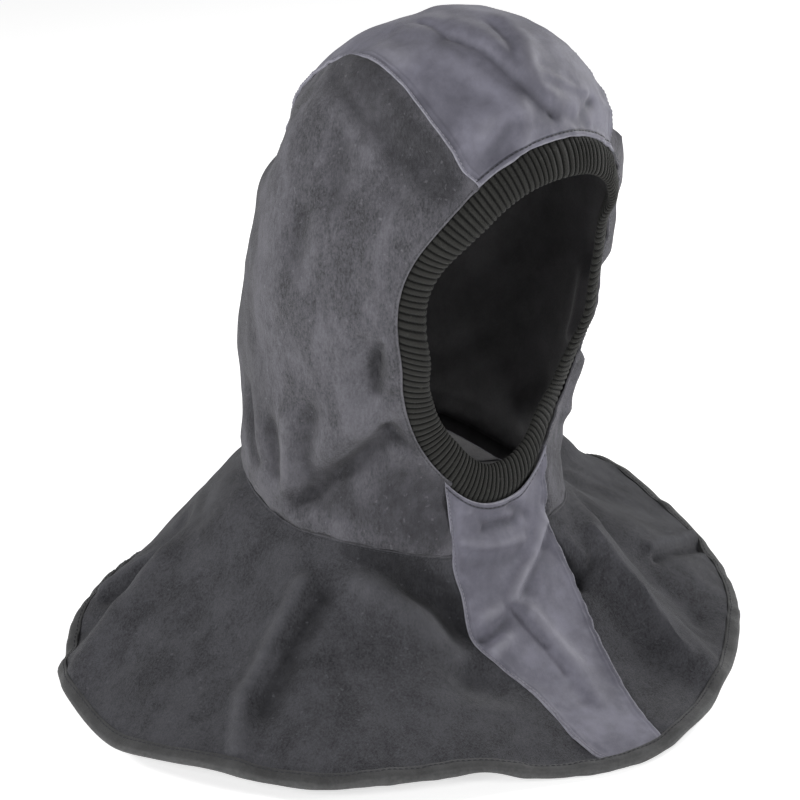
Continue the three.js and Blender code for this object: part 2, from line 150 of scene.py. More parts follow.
def neck(angle):
    """Seam ring of hood and cape; the angle runs from the front to the wearer's left."""
    c, s = np.cos(np.radians(angle)), np.sin(np.radians(angle))
    reach = (np.abs(c) ** NECK_SQUARENESS + np.abs(s) ** NECK_SQUARENESS) ** (-1 / NECK_SQUARENESS)
    middle, deep = (NECK_FRONT + NECK_BACK) / 2, (NECK_BACK - NECK_FRONT) / 2
    height, bulge = neck_ring(angle)
    return xyz(NECK_HALF * s * reach + bulge * s, middle - deep * c * reach - bulge * c, height)


def crown(s, q):
    """Crown panel: s from the forehead to the nape, q from the right seam to the left one."""
    y, z, half, drop, lag = crown_line(s)
    step = 0.002
    ahead, behind = crown_line(np.minimum(s + step, 1)), crown_line(np.maximum(s - step, 0))
    along = unit(xyz(0, ahead[0] - behind[0], ahead[1] - behind[1]))
    out = xyz(0, -along[..., 2], along[..., 1])
    bend = (np.abs(q) ** CROWN_ROUNDNESS)[..., None]
    point = xyz(q * half, y, z) - out * drop[..., None] * bend - along * lag[..., None] * bend
    nape = neck(180 - q * (180 - NAPE_ANGLE))
    return point + (nape - point) * ease((s - NAPE_BLEND) / (1 - NAPE_BLEND))[..., None]


def normals(grid, turn):
    """Outward direction at each point of a grid."""
    return unit(np.cross(np.gradient(grid, axis=0), np.gradient(grid, axis=1))) * turn


def from_edge(grid, axis, last=False):
    """Distance along the cloth from one border of a grid, in millimetres."""
    grid = np.flip(grid, axis) if last else grid
    step = np.linalg.norm(np.diff(grid, axis=axis), axis=-1)
    run = np.concatenate([np.zeros_like(np.take(step, [0], axis)), np.cumsum(step, axis)], axis)
    return np.flip(run, axis) if last else run


def nearest_edge(grid, axis):
    """Distance along the cloth from the nearer of two opposite borders."""
    return np.minimum(from_edge(grid, axis), from_edge(grid, axis, last=True))


def raised(grid, turn, height):
    """The cloth moved outwards by a height at each point."""
    return grid + normals(grid, turn) * height[..., None]


def run_along(points):
    """Distance along a line of points, in millimetres."""
    return np.concatenate([[0], np.cumsum(np.linalg.norm(np.diff(points, axis=0), axis=1))])


def read_along(at, run, points):
    """Points of a line, read at set distances along it."""
    return np.stack([np.interp(at, run, column) for column in points.T], -1)


def ripple(points, length, seed, waves=24):
    """Gentle random height over the cloth, in waves of about one length."""
    random = np.random.default_rng(seed)
    direction = unit(random.normal(size=(waves, 3))) / (length * random.uniform(0.7, 1.6, (waves, 1)))
    phase = random.uniform(0, 2 * np.pi, waves)
    return np.sin(points @ direction.T * 2 * np.pi + phase).sum(-1) / math.sqrt(waves / 2)


def slack(points, rows):
    """Looseness of the cloth: ripples added up, each with its height, length and seed."""
    return sum(height * ripple(points, length, seed) for height, length, seed in rows)


def folds(points, rows, lay=False):
    """Height of folds that run along lines; lay first moves each line on to the cloth beside it."""
    height = np.zeros(points.shape[:-1])
    spots = points.reshape(-1, 3)
    for line, width, rise, sharp in rows:
        line = np.array(line, float)
        if lay:
            near = spots[[np.argmin(np.linalg.norm(spots - point, axis=1)) for point in line]]
            line = np.where(np.linalg.norm(near - line, axis=1, keepdims=True) < LAY_REACH, near, line)
        away = np.full(height.shape, 1e9)
        for a, b in zip(line[:-1], line[1:]):
            share = np.clip((points - a) @ (b - a) / ((b - a) @ (b - a)), 0, 1)
            away = np.minimum(away, np.linalg.norm(points - a - share[..., None] * (b - a), axis=-1))
        height += rise * np.exp(-((away / width) ** sharp))
    return height * CREASE_DEPTH if lay else height


def turned_edge(away):
    """Cross shape of an edge that is turned under and sewn: a soft lip, then the stitch groove."""
    lip = LIP_RISE * (1 - ease((away - STITCH_IN) / LIP_FALL))
    lip = lip - ROLL_DEPTH * np.exp(-((away / ROLL_WIDTH) ** 2))
    return lip - GROOVE_DEPTH * np.exp(-(((away - STITCH_IN) / GROOVE_WIDTH) ** 2))


def fine_edge(away):
    """Distance from an edge whose stitches are pale, shifted so that no painted groove shade falls beside
    them.
    """
    return np.where(away > FINE_STITCH_IN + 0.4, away + NO_GROOVE, away)


def tucked_edge(away):
    """Cross shape of an edge that runs in under its neighbour."""
    return -TUCK_DEPTH * np.exp(-((away / TUCK_WIDTH) ** 2))


def seam_allowance(grid):
    """Adds rows at the last border of a panel that turn in under the piece it is sewn to."""
    middle = xyz(0, (NECK_FRONT + NECK_BACK) / 2, grid[:, -1, 2])
    inward = unit(middle - grid[:, -1])
    rows = [grid[:, -1] + inward * into - np.array([0, 0, drop]) for into, drop in ALLOWANCE]
    return np.concatenate([grid, np.stack(rows, 1)], 1)


def pucker(points, away, seed, size=0.45, reach=7.0):
    """Short gathers that the stitches pull into the cloth beside a seam."""
    return size * ripple(points, PUCKER_LENGTH, seed) * np.exp(-away / reach)


def new_piece(name, vertices, faces, uv, finishes, face_finish=None, edge=None, rub=None, sharp=48):
    """A mesh in metres from millimetre points, raised to the seat."""
    mesh = bpy.data.meshes.new(name)
    vertices = (np.asarray(vertices, float).reshape(-1, 3) + (0, 0, SEAT_LIFT)) * 0.001
    mesh.from_pydata(vertices.tolist(), [], [list(map(int, f)) for f in faces])
    corners = np.empty(len(mesh.loops), np.int64)
    mesh.loops.foreach_get("vertex_index", corners)
    layer = mesh.uv_layers.new(name="cloth")
    layer.data.foreach_set("uv", (np.asarray(uv, float).reshape(-1, 2)[corners] * 0.001).ravel())
    # The second attribute holds painted fold light and shade for the material
    for label, values in (("edge_mm", edge), ("rub", rub)):
        if values is not None:
            store = mesh.attributes.new(label, "FLOAT", "POINT")
            store.data.foreach_set("value", np.asarray(values, float).ravel())
    for finish in finishes:
        mesh.materials.append(finish)
    if face_finish is not None:
        mesh.polygons.foreach_set("material_index", np.asarray(face_finish, np.int32))
    mesh.shade_smooth()
    mesh.set_sharp_from_angle(angle=math.radians(sharp))
    mesh.update()
    piece = bpy.data.objects.new(name, mesh)
    bpy.context.scene.collection.objects.link(piece)
    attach(piece, "root")
    return piece


def cloth(name, grid, wall, turn, edge, rub, finishes, cut=None):
    """A wall of cloth with a rounded rim, from its outer face and each point's place on the cut cloth."""
    columns, rows = grid.shape[:2]
    inner = grid - normals(grid, turn) * wall
    count = columns * rows
    index = np.arange(count).reshape(columns, rows)
    quads = np.stack([index[:-1, :-1], index[1:, :-1], index[1:, 1:], index[:-1, 1:]], -1).reshape(-1, 4)
    if turn < 0:
        quads = quads[:, ::-1]
    border = np.concatenate([index[:, 0], index[-1, 1:], index[-2::-1, -1], index[0, -2:0:-1]])
    outer_rim, inner_rim = grid.reshape(-1, 3)[border], inner.reshape(-1, 3)[border]
    inside = grid[tuple(np.clip(np.array(np.unravel_index(border, (columns, rows))).T, 1,
                                (columns - 2, rows - 2)).T)]
    rim = (outer_rim + inner_rim) / 2 + unit(outer_rim - inside) * wall * RIM_ROUND
    ring = np.arange(len(border))
    after = np.roll(ring, -1)
    middle = 2 * count + ring
    upper = np.stack([border[ring], middle[ring], middle[after], border[after]], -1)
    lower = np.stack([middle[ring], count + border[ring], count + border[after], middle[after]], -1)
    rims = np.concatenate([upper, lower])
    if turn < 0:
        rims = rims[:, ::-1]
    faces = np.concatenate([quads, quads[:, ::-1] + count, rims])
    if cut is None:
        across = from_edge(grid, 0)
        cut = np.stack([across - across[-1:] / 2, from_edge(grid, 1)], -1)
    uv = np.asarray(cut).reshape(-1, 2)
    missing = [(0, full - part) for full, part in zip(grid.shape[:2], edge.shape)]
    edge, rub = (np.pad(values, missing, mode="edge").ravel() for values in (edge, rub))
    return new_piece(
        name,
        np.concatenate([grid.reshape(-1, 3), inner.reshape(-1, 3), rim]),
        faces,
        np.concatenate([uv, uv, uv[border]]),
        finishes,
        np.concatenate([np.zeros(len(quads)), np.ones(len(quads)), np.zeros(len(rims))]),
        np.concatenate([edge, edge, edge[border]]),
        # Painted fold light and shade on the outer face and rim, none on the inside
        np.concatenate([rub, 0 * rub, rub[border]]),
    )


def linear(red, green, blue):
    """A screen colour from 0 to 255 as the shader's own values."""
    levels = np.array([red, green, blue]) / 255
    values = np.where(levels < 0.04045, levels / 12.92, ((levels + 0.055) / 1.055) ** 2.4)
    return (*values.tolist(), 1.0)


def add(tree, kind, settings=None, **inputs):
    """A node with its settings; an input is a value or the output socket of another node."""
    made = tree.nodes.new(kind)
    for key, value in (settings or {}).items():
        setattr(made, key, value)
    for key, value in inputs.items():
        socket = made.inputs[int(key[1:])] if key[0] == "_" else made.inputs[key.replace("_", " ")]
        if isinstance(value, bpy.types.NodeSocket):
            tree.links.new(value, socket)
        else:
            socket.default_value = value
    return made


def work(tree, operation, a, b=0.0, c=0.0):
    """One step of arithmetic."""
    return add(tree, "ShaderNodeMath", {"operation": operation}, _0=a, _1=b, _2=c).outputs[0]


def noise(tree, place, scale, **more):
    """Random cloud over the places."""
    return add(tree, "ShaderNodeTexNoise", Vector=place, Scale=scale, **more).outputs["Fac"]


def fit(tree, value, low, high, to_low=0.0, to_high=1.0):
    """A value taken from one range to another and held there."""
    return add(tree, "ShaderNodeMapRange", {"interpolation_type": "SMOOTHSTEP"},
               _0=value, _1=low, _2=high, _3=to_low, _4=to_high).outputs[0]


def blend(tree, share, a, b, how="MIX"):
    """Colour b laid over colour a by a share."""
    settings = {"data_type": "RGBA", "blend_type": how}
    return add(tree, "ShaderNodeMix", settings, _0=share, _6=a, _7=b).outputs[2]


def tint(tree, colour, mask, share, toward, how="MIX"):
    """A colour taken towards another where a mask is full, by a share at most."""
    return blend(tree, work(tree, "MULTIPLY", mask, share), colour, toward, how)


def new_group(name, inputs, outputs):
    """A shader node group with named sockets: (name, kind, starting value)."""
    tree = bpy.data.node_groups.new(name, "ShaderNodeTree")
    for label, kind, start in inputs:
        socket = tree.interface.new_socket(label, in_out="INPUT", socket_type=kind)
        if start is not None:
            socket.default_value = start
    for label, kind in outputs:
        tree.interface.new_socket(label, in_out="OUTPUT", socket_type=kind)
    return tree, tree.nodes.new("NodeGroupInput").outputs, tree.nodes.new("NodeGroupOutput").inputs


NUMBER, ARROW = "NodeSocketFloat", "NodeSocketVector"

# Twill: slanted ridges of warp threads, cut across by the weft
twill, came, gives = new_group(
    "twill threads",
    [("Place", ARROW, None), ("Thread mm", NUMBER, 0.7)],
    [("Height", NUMBER), ("Shade", NUMBER)],
)
wobble = noise(twill, came["Place"], 260.0, Detail=1.0)
split = add(twill, "ShaderNodeSeparateXYZ", Vector=came["Place"])
count = work(twill, "DIVIDE", 2000 * math.pi, came["Thread mm"])
slant = work(twill, "ADD", split.outputs["X"], work(twill, "MULTIPLY", split.outputs["Y"], 0.55))
warp = work(twill, "SINE", work(twill, "ADD", work(twill, "MULTIPLY", slant, count),
                                work(twill, "MULTIPLY", wobble, 5.0)))
weft = work(twill, "SINE", work(twill, "MULTIPLY", split.outputs["Y"], count))
threads = work(twill, "MULTIPLY_ADD", weft, 0.35, warp)
twill.links.new(fit(twill, threads, -1.35, 1.35), gives["Height"])
thick = noise(twill, came["Place"], 900.0, Detail=3.0)
twill.links.new(work(twill, "MULTIPLY_ADD", fit(twill, threads, -1.2, 1.2), 0.35,
                     work(twill, "MULTIPLY", thick, 0.65)), gives["Shade"])

# Sewn edge: a painted highlight on its lip, broken up along it, and painted shade in the groove of the
# stitches
sewn_edge, came, gives = new_group(
    "sewn edge",
    [("Place", ARROW, None), ("From edge mm", NUMBER, 50.0),
     ("Lip mm", NUMBER, 1.5), ("Stitch mm", NUMBER, 3.0)],
    [("Lip", NUMBER), ("Groove", NUMBER)],
)
patchy = fit(sewn_edge, noise(sewn_edge, came["Place"], 420.0, Detail=4.0), 0.3, 0.62, 0.4, 1.0)
share = work(sewn_edge, "DIVIDE", came["From edge mm"], came["Lip mm"])
lip = fit(sewn_edge, share, 0.45, 1.0, 1.0, 0.0)
# Lip: painted highlight along the folded edge
sewn_edge.links.new(work(sewn_edge, "MULTIPLY", lip, patchy), gives["Lip"])
beside = work(sewn_edge, "ABSOLUTE", work(sewn_edge, "SUBTRACT", came["From edge mm"], came["Stitch mm"]))
# Groove: painted shade beside the stitches
sewn_edge.links.new(fit(sewn_edge, beside, 0.2, 1.0, 1.0, 0.0), gives["Groove"])

# Painted fold shading: a painted highlight on the ridges and painted shade in the valleys, both broken up a
# little
fold_shading, came, gives = new_group(
    "painted fold shading",
    [("Place", ARROW, None), ("Rub", NUMBER, 0.0)],
    [("Pale", NUMBER), ("Deep", NUMBER)],
)
uneven = fit(fold_shading, noise(fold_shading, came["Place"], 140.0, Detail=4.0), 0.3, 0.7, 0.65, 1.0)
fold_shading.links.new(work(fold_shading, "MULTIPLY", uneven, fit(fold_shading, came["Rub"], 0.05, 1.0)), gives["Pale"])
fold_shading.links.new(work(fold_shading, "MULTIPLY", uneven, fit(fold_shading, came["Rub"], -0.05, -1.0)), gives["Deep"])

# Mottling: soft patches of lighter and darker cloth at two sizes, fine fibres and pale specks of lint
mottle, came, gives = new_group(
    "mottled cloth",
    [("Place", ARROW, None), ("Patch mm", NUMBER, 30.0), ("Upright", NUMBER, 1.0)],
    [("Shade", NUMBER), ("Fibres", NUMBER), ("Lint", NUMBER)],
)
squeeze = add(mottle, "ShaderNodeCombineXYZ", X=1.0, Y=1.0, Z=came["Upright"]).outputs[0]
place = add(mottle, "ShaderNodeVectorMath", {"operation": "MULTIPLY"}, _0=came["Place"], _1=squeeze)
place = place.outputs[0]
size = work(mottle, "DIVIDE", 1000.0, came["Patch mm"])
broad = noise(mottle, place, size, Detail=3.0, Distortion=0.5)
medium = noise(mottle, place, work(mottle, "MULTIPLY", size, 5.0), Detail=4.0, Roughness=0.65)
both = work(mottle, "MULTIPLY_ADD", medium, 0.4, work(mottle, "MULTIPLY", broad, 0.6))
mottle.links.new(fit(mottle, both, 0.33, 0.67), gives["Shade"])
fibres = noise(mottle, place, 900.0, Detail=4.0, Roughness=0.8)
mottle.links.new(fit(mottle, fibres, 0.28, 0.72), gives["Fibres"])
lint = noise(mottle, came["Place"], 330.0, Detail=2.0)
mottle.links.new(fit(mottle, lint, 0.66, 0.76), gives["Lint"])


def use(tree, group, **inputs):
    """A node group placed in a material with its own values."""
    return add(tree, "ShaderNodeGroup", {"node_tree": group}, **inputs).outputs


def new_finish(name):
    """A material, its nodes and its shader."""
    finish = bpy.data.materials.new(name)
    finish.use_nodes = True
    return finish, finish.node_tree, finish.node_tree.nodes["Principled BSDF"]


def on_cloth(tree):
    """Place on the cut cloth, in metres."""
    return add(tree, "ShaderNodeUVMap", {"uv_map": "cloth"}).outputs["UV"]


def in_space(tree):
    """Place in the piece's own space, in metres."""
    return add(tree, "ShaderNodeTexCoord").outputs["Object"]


def stored(tree, label):
    """Value that the mesh holds at its points."""
    return add(tree, "ShaderNodeAttribute", {"attribute_name": label}).outputs["Fac"]


def finish_cloth(tree, shader, colour, roughness, height, bump, levels):
    """Joins colour, roughness and thread relief to the shader, and sets its own levels."""
    strength, distance = bump
    relief = add(tree, "ShaderNodeBump", Strength=strength, Distance=distance, Height=height).outputs[0]
    for value, label in ((colour, "Base Color"), (roughness, "Roughness"), (relief, "Normal")):
        tree.links.new(value, shader.inputs[label])
    for label, level in levels.items():
        shader.inputs[label].default_value = level


# Smooth grey cotton: fine twill, faint sheen, painted highlights on the lips of the sewn edges and on
# crease ridges, painted shade in the stitch grooves and crease valleys
SMOOTH_DARK, SMOOTH_LIGHT, SMOOTH_PAINTED_HIGHLIGHT = linear(97, 96, 106), linear(124, 123, 135), linear(160, 159, 168)
SMOOTH_PAINTED_SHADE = linear(40, 40, 47)
smooth_cotton, tree, shader = new_finish("smooth grey cotton")
spot, edge = in_space(tree), stored(tree, "edge_mm")
weave = use(tree, twill, Place=on_cloth(tree), Thread_mm=0.62)
patches = use(tree, mottle, Place=spot, Patch_mm=40.0, Upright=0.8)
seam = use(tree, sewn_edge, Place=spot, From_edge_mm=edge, Lip_mm=0.9, Stitch_mm=STITCH_IN)
relief = use(tree, fold_shading, Place=spot, Rub=stored(tree, "rub"))
colour = blend(tree, patches["Shade"], SMOOTH_DARK, SMOOTH_LIGHT)
colour = tint(tree, colour, weave["Shade"], 0.25, SMOOTH_LIGHT, "OVERLAY")
# Painted highlight on crease ridges, painted shade in crease valleys and stitch grooves, painted highlight
# on the edge lips
colour = tint(tree, colour, relief["Pale"], 0.5, SMOOTH_PAINTED_HIGHLIGHT)
colour = tint(tree, colour, relief["Deep"], 0.75, SMOOTH_PAINTED_SHADE)
colour = tint(tree, colour, seam["Groove"], 0.6, SMOOTH_PAINTED_SHADE)
colour = tint(tree, colour, seam["Lip"], 0.5, SMOOTH_PAINTED_HIGHLIGHT)
finish_cloth(
    tree, shader, colour,
    roughness=fit(tree, patches["Fibres"], 0.0, 1.0, 0.6, 0.76),
    height=work(tree, "MULTIPLY_ADD", patches["Fibres"], 0.5, weave["Height"]),
    bump=(0.4, 0.00012),
    levels={"Sheen Weight": 0.12, "Sheen Roughness": 0.4, "Specular IOR Level": 0.3},
)

# Inside of the cloth: dark reverse with a slight satin, its colours darkened further to paint in the shade
# inside the hood
INSIDE_DARK, INSIDE_LIGHT = linear(30, 29, 31), linear(50, 48, 51)
cloth_inside, tree, shader = new_finish("inside of the cloth")
weave = use(tree, twill, Place=on_cloth(tree), Thread_mm=0.8)
patches = use(tree, mottle, Place=in_space(tree), Patch_mm=34.0, Upright=0.8)
finish_cloth(
    tree, shader, blend(tree, patches["Shade"], INSIDE_DARK, INSIDE_LIGHT),
    roughness=fit(tree, patches["Fibres"], 0.0, 1.0, 0.5, 0.68),
    height=weave["Height"],
    bump=(0.4, 0.00015),
    levels={"Sheen Weight": 0.1},
)


def thread_finish(name, dark, light):
    """Twisted sewing thread."""
    finish, tree, shader = new_finish(name)
    twist = use(tree, twill, Place=on_cloth(tree), Thread_mm=0.35)
    tree.links.new(blend(tree, twist["Shade"], dark, light), shader.inputs["Base Color"])
    tree.links.new(fit(tree, twist["Height"], 0.0, 1.0, 0.5, 0.7), shader.inputs["Roughness"])
    return finish


dark_thread = thread_finish("dark sewing thread", linear(30, 30, 34), linear(52, 52, 58))
pale_thread = thread_finish("pale sewing thread", linear(104, 103, 111), linear(146, 145, 153))

STITCH_LENGTH, STITCH_GAP, THREAD_RADIUS = 2.6, 0.5, 0.32
FINE_STITCH = {"length": 1.6, "gap": 0.8, "radius": 0.2}
FIRST_STITCH, THREAD_SIDES = 0.4, 6
STITCH_SHAPE = np.array([  # share along the stitch, thickness, lift
    (0.00, 0.35, -0.5),
    (0.18, 0.90, 0.35),
    (0.50, 1.00, 0.6),
    (0.82, 0.90, 0.35),
    (1.00, 0.35, -0.5),
])


def stitches(name, lines, finish, slot, length=STITCH_LENGTH, gap=STITCH_GAP, radius=THREAD_RADIUS):
    """Rows of short threads: each line is its points and the outward direction at each point."""
    around = np.arange(THREAD_SIDES) * 2 * np.pi / THREAD_SIDES
    places, thickness, lifts = STITCH_SHAPE.T
    size = len(places) * THREAD_SIDES
    vertices, faces, uv = [], [], []
    for points, outs in lines:
        run = run_along(points)
        for start in np.arange(FIRST_STITCH, run[-1] - length, length + gap):
            at = start + places * length
            middle, out = read_along(at, run, points), unit(read_along(at, run, outs))
            side = unit(np.cross(unit(np.gradient(middle, axis=0)), out))
            middle = middle + out * (lifts * radius)[:, None]
            ring = side[:, None] * np.cos(around)[:, None] + out[:, None] * np.sin(around)[:, None]
            first = len(vertices) * size
            vertices.append((middle[:, None] + ring * (radius * thickness)[:, None, None]).reshape(-1, 3))
            uv.append(np.stack(np.broadcast_arrays(around * radius, at[:, None]), -1).reshape(-1, 2))
            for i in range(first, first + size - THREAD_SIDES, THREAD_SIDES):
                for k in range(THREAD_SIDES):
                    a, b = i + k, i + (k + 1) % THREAD_SIDES
                    faces.append((a, b, b + THREAD_SIDES, a + THREAD_SIDES))
            faces.append(range(first + THREAD_SIDES - 1, first - 1, -1))
            faces.append(range(first + size - THREAD_SIDES, first + size))
    piece = new_piece(name, np.concatenate(vertices), faces, np.concatenate(uv), [finish])
    return piece


def row_line(grid, turn, axis, away, last=False, start=0, stop=None):
    """Line of a row of stitches at a set distance from one border, with outward directions."""
    run = from_edge(grid, axis, last)
    out = normals(grid, turn)
    grid, run, out = (np.moveaxis(a, axis, 0) for a in (grid, run, out))
    if last:
        grid, run, out = grid[::-1], run[::-1], out[::-1]
    columns = range(grid.shape[1])[start:stop]
    points = np.array([read_along(away, run[:, j], grid[:, j]) for j in columns])
    return points, unit(np.array([read_along(away, run[:, j], out[:, j]) for j in columns]))


CROWN_FOLDS = [  # line, width, height, sharpness
    ([(0, -88, -55), (0, -60, 0)], 10, 1.2, 2),
    ([(0, -60, 0), (4, 0, -4)], 10, 1.4, 2),
    ([(-26, -72, -26), (-40, -64, -24)], 12, -3.0, 2),
    ([(-74, 44, -72), (-30, 84, -80)], 14, -8, 2),
]
CROWN_CREASES = [  # line, width, height, sharpness
    ([(-24, -15, -9), (-28, -38, -10), (-25, -54, -15), (-20, -68, -23), (-14, -79, -33), (-1, -89, -49)],
     2.7, -1.7, 1.4),
    ([(-31, -40, -12), (-28, -56, -18), (-23, -70, -26), (-16, -81, -37), (-6, -88, -47)], 6, -1.1, 2),
    ([(-17, -40, -8), (-15, -60, -15), (-8, -77, -29), (0, -86, -42)], 7, 1.2, 2),
    ([(-34, -20, -12), (-38, -44, -17), (-32, -64, -25), (-20, -80, -40)], 10, 1.0, 2),
    ([(-4, -46, -6), (-9, -60, -14), (-13, -70, -23)], 4.0, -1.4, 1.6),
    ([(5, -48, -6), (1, -62, -13), (-5, -72, -22)], 7, 1.2, 2),
    ([(-40, -68, -36), (-34, -73, -36)], 7.5, -1.5, 2),
    ([(-40, -82, -61), (-33, -85, -55), (-27, -84, -49)], 6.5, -2.0, 2),
    ([(-50, -14, -19), (-50, -30, -22)], 8, 2.0, 2),
    ([(-44, -78, -54), (-40, -80, -46)], 6, 1.4, 2),
    ([(-25, -88, -57), (-22, -83, -46)], 6, 1.8, 2),
    ([(0, -76, -25), (21, -81, -37)], 3.2, -0.9, 1.8),
    ([(4, -79, -30), (30, -82, -44)], 3.6, 0.8, 1.8),
    ([(-3, -82, -33), (33, -82, -48)], 3.6, -1.0, 1.8),
    ([(2, -88, -47), (25, -88, -60)], 4.5, -1.1, 2),
    ([(24, -86, -52), (36, -80, -50)], 5, -1.6, 2),
]
CROWN_SLACK = [(0.5, 45, 3), (0.16, 15, 4)]  # height, length, seed
CROWN_CALM, CROWN_HUG, LIFT_REACH, CORNER_SPREAD = 9.0, 12.0, 5.0, 60.0

s, q = np.meshgrid(spread(190, 480, end=False), 2 * spread(84, 108) - 1, indexing="ij")
crown_grid = crown(s, q * (1 + (CROWN_LAP - 1) * ease(s / CROWN_CORNER)))
crown_edge, crown_front = nearest_edge(crown_grid, 1), from_edge(crown_grid, 0)
crown_rim = np.minimum(crown_edge, crown_front)
crown_hug = ease(from_edge(crown_grid, 0, last=True) / CROWN_HUG)
crown_creases = folds(crown_grid, CROWN_CREASES, lay=True)
crown_height = (folds(crown_grid, CROWN_FOLDS) + crown_creases) * ease(crown_rim / CROWN_CALM + 0.25)
crown_height += slack(crown_grid, CROWN_SLACK) + pucker(crown_grid, crown_rim, 5) + turned_edge(crown_rim)
crown_height += CROWN_LIFT * np.exp(-((crown_edge / LIFT_REACH) ** 2)) * ease(crown_front / CROWN_HUG)
crown_height -= CORNER_DIP * np.exp(-(crown_edge ** 2 + crown_front ** 2) / CORNER_SPREAD)
crown_grid = raised(crown_grid, -1, crown_height * crown_hug)
crown_sewn = np.swapaxes(seam_allowance(np.swapaxes(crown_grid, 0, 1)), 0, 1)
# Crease heights give the painted fold light and shade; edge distances give the painted lip highlight and
# groove shade
crown_piece = cloth("crown_cloth", crown_sewn, FACING_WALL, -1,
                    np.minimum(fine_edge(crown_edge), crown_front), crown_creases / FOLD_SHADE_FULL,
                    [smooth_cotton, cloth_inside])
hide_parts("crown_panel")
crown_stitches = stitches(
    "crown_side_stitches",
    [row_line(crown_grid, -1, 1, FINE_STITCH_IN, last) for last in (False, True)],
    pale_thread, "smooth_cloth", **FINE_STITCH,
)
forehead_stitches = stitches("forehead_stitches", [row_line(crown_grid, -1, 0, STITCH_IN)],
                             dark_thread, "smooth_cloth")


# Cape
# A wide ring of dark brushed cotton that hangs from the neck seam over the shoulders.
# It is cut from flared pieces, so that it falls in loose folds; its top edge is sewn to the hood.

CLOTH_WALL = 1.8
FOLD_FADE = 0.2
UNDER_STRIP, UNDER_DROP, UNDER_START, UNDER_SPAN = 8.0, 6.0, 6.0, 0.2

hem_line = curve([  # angle, reach, height, sag
    (0, 160, -381, 0.30),
    (30, 164, -375, 0.22),
    (48, 173, -369, 0.10),
    (61, 184, -366, 0.00),
    (71, 193, -360, 0.00),
    (80, 199, -354, 0.05),
    (88, 201, -347, 0.12),
    (96, 207, -335, 0.12),
    (104, 214, -326, -0.04),
    (113, 212, -332, -0.20),
    (135, 207, -345, -0.28),
    (158, 199, -348, -0.14),
    (180, 192, -347, -0.06),
    (202, 186, -347, 0.00),
    (218, 196, -352, 0.05),
    (232, 207, -361, 0.05),
    (247, 206, -368, 0.00),
    (259, 205, -371, 0.02),
    (268, 197, -370, 0.05),
    (280, 185, -371, 0.08),
    (296, 175, -369, 0.12),
    (311, 159, -370, 0.16),
    (325, 148, -372, 0.20),
    (342, 151, -379, 0.26),
], period=360)
CAPE_FOLDS = [  # angle at the neck and at the hem, width, height, span
    (47, 31, 13, 9, 0.0, 0.9),
    (62, 48, 17, -9, 0.05, 0.8),
    (100, 88, 20, 5, 0.40, 1.0),
    (118, 112, 34, 8, 0.0, 0.6),
    (150, 150, 20, 6, 0.30, 1.0),
    (180, 182, 22, -5, 0.30, 1.0),
    (214, 231, 17, -7, 0.30, 1.0),
    (230, 245, 16, 8, 0.25, 0.9),
    (262, 258, 22, -4, 0.30, 1.0),
    (289, 277, 20, 5, 0.10, 0.95),
    (304, 296, 24, -4, 0.15, 1.0),
    (328, 341, 17, -10, -0.10, 0.50),
]
CAPE_CREASES = [  # line, width, height, sharpness
    ([(-100, -5, -300), (-124, -9, -320), (-153, -16, -343), (-174, -31, -362)], 6, 3.6, 1.5),
    ([(-98, -16, -303), (-122, -20, -323), (-150, -28, -345)], 9, -3.4, 2),
    ([(-73, -19, -284), (-60, -36, -297), (-41, -48, -314), (-37, -59, -328)], 9, -5.5, 1.8),
    ([(-78, -28, -297), (-60, -48, -317), (-48, -64, -335)], 11, 3.5, 2),
    ([(39, -55, -302), (48, -63, -314), (47, -69, -324)], 4.5, -3.8, 1.8),
    ([(47, -69, -324), (61, -66, -315)], 4, -2.2, 1.8),
    ([(50, -57, -304), (56, -64, -314)], 4.5, 1.6, 2),
    ([(70, -58, -302), (78, -87, -332), (78, -109, -350), (76, -125, -360)], 4, 2.4, 1.3),
    ([(126, -58, -335), (152, -53, -341), (186, -41, -352)], 3.5, -3.2, 1.6),
    ([(126, -50, -333), (155, -44, -339), (187, -31, -349)], 4.5, 2.4, 1.8),
    ([(-97, 124, -321), (-117, 143, -341)], 4, 2.4, 1.6),
    ([(-104, 116, -321), (-124, 134, -341)], 5, -2.6, 1.8),
]
CAPE_SLACK = [(0.9, 60, 11), (0.22, 20, 12)]  # height, length, seed
CAPE_CALM, CAPE_SMOOTH, SIDE_EDGE_CALM, NECK_LIP, NECK_LIP_REACH = 26.0, 16.0, 10.0, 0.5, 2.5


def plain_cape(angle, t):
    """Cape without folds: t from the neck to the hem."""
    reach, height, sag = hem_line(angle)
    top = neck(angle)
    hem = xyz(reach * np.sin(np.radians(angle)), -reach * np.cos(np.radians(angle)), height)
    bend = top + (hem - top) * (0.5 - sag)[..., None]
    bend[..., 2] = top[..., 2] + (0.5 + sag) * (hem[..., 2] - top[..., 2])
    t = t[..., None]
    return top * (1 - t) ** 2 + bend * 2 * t * (1 - t) + hem * t * t


def cape(angle, t):
    """Cape with its large folds raised along the outward direction."""
    point = plain_cape(angle, t)
    turn = plain_cape(angle + 0.4, t) - plain_cape(angle - 0.4, t)
    drop = plain_cape(angle, t + 0.004) - plain_cape(angle, t - 0.004)
    out = -unit(np.cross(turn, drop))
    radius = np.hypot(point[..., 0], point[..., 1])
    height = np.zeros(point.shape[:-1])
    for at_neck, at_hem, width, rise, begin, end in CAPE_FOLDS:
        away = (angle - at_neck - (at_hem - at_neck) * t + 180) % 360 - 180
        near = np.exp(-((np.radians(away) * radius / width) ** 2))
        span = np.clip((t - begin) / FOLD_FADE, 0, 1) * np.clip((end + FOLD_FADE - t) / FOLD_FADE, 0, 1)
        height = height + rise * near * ease(span)
    return point + out * height[..., None]


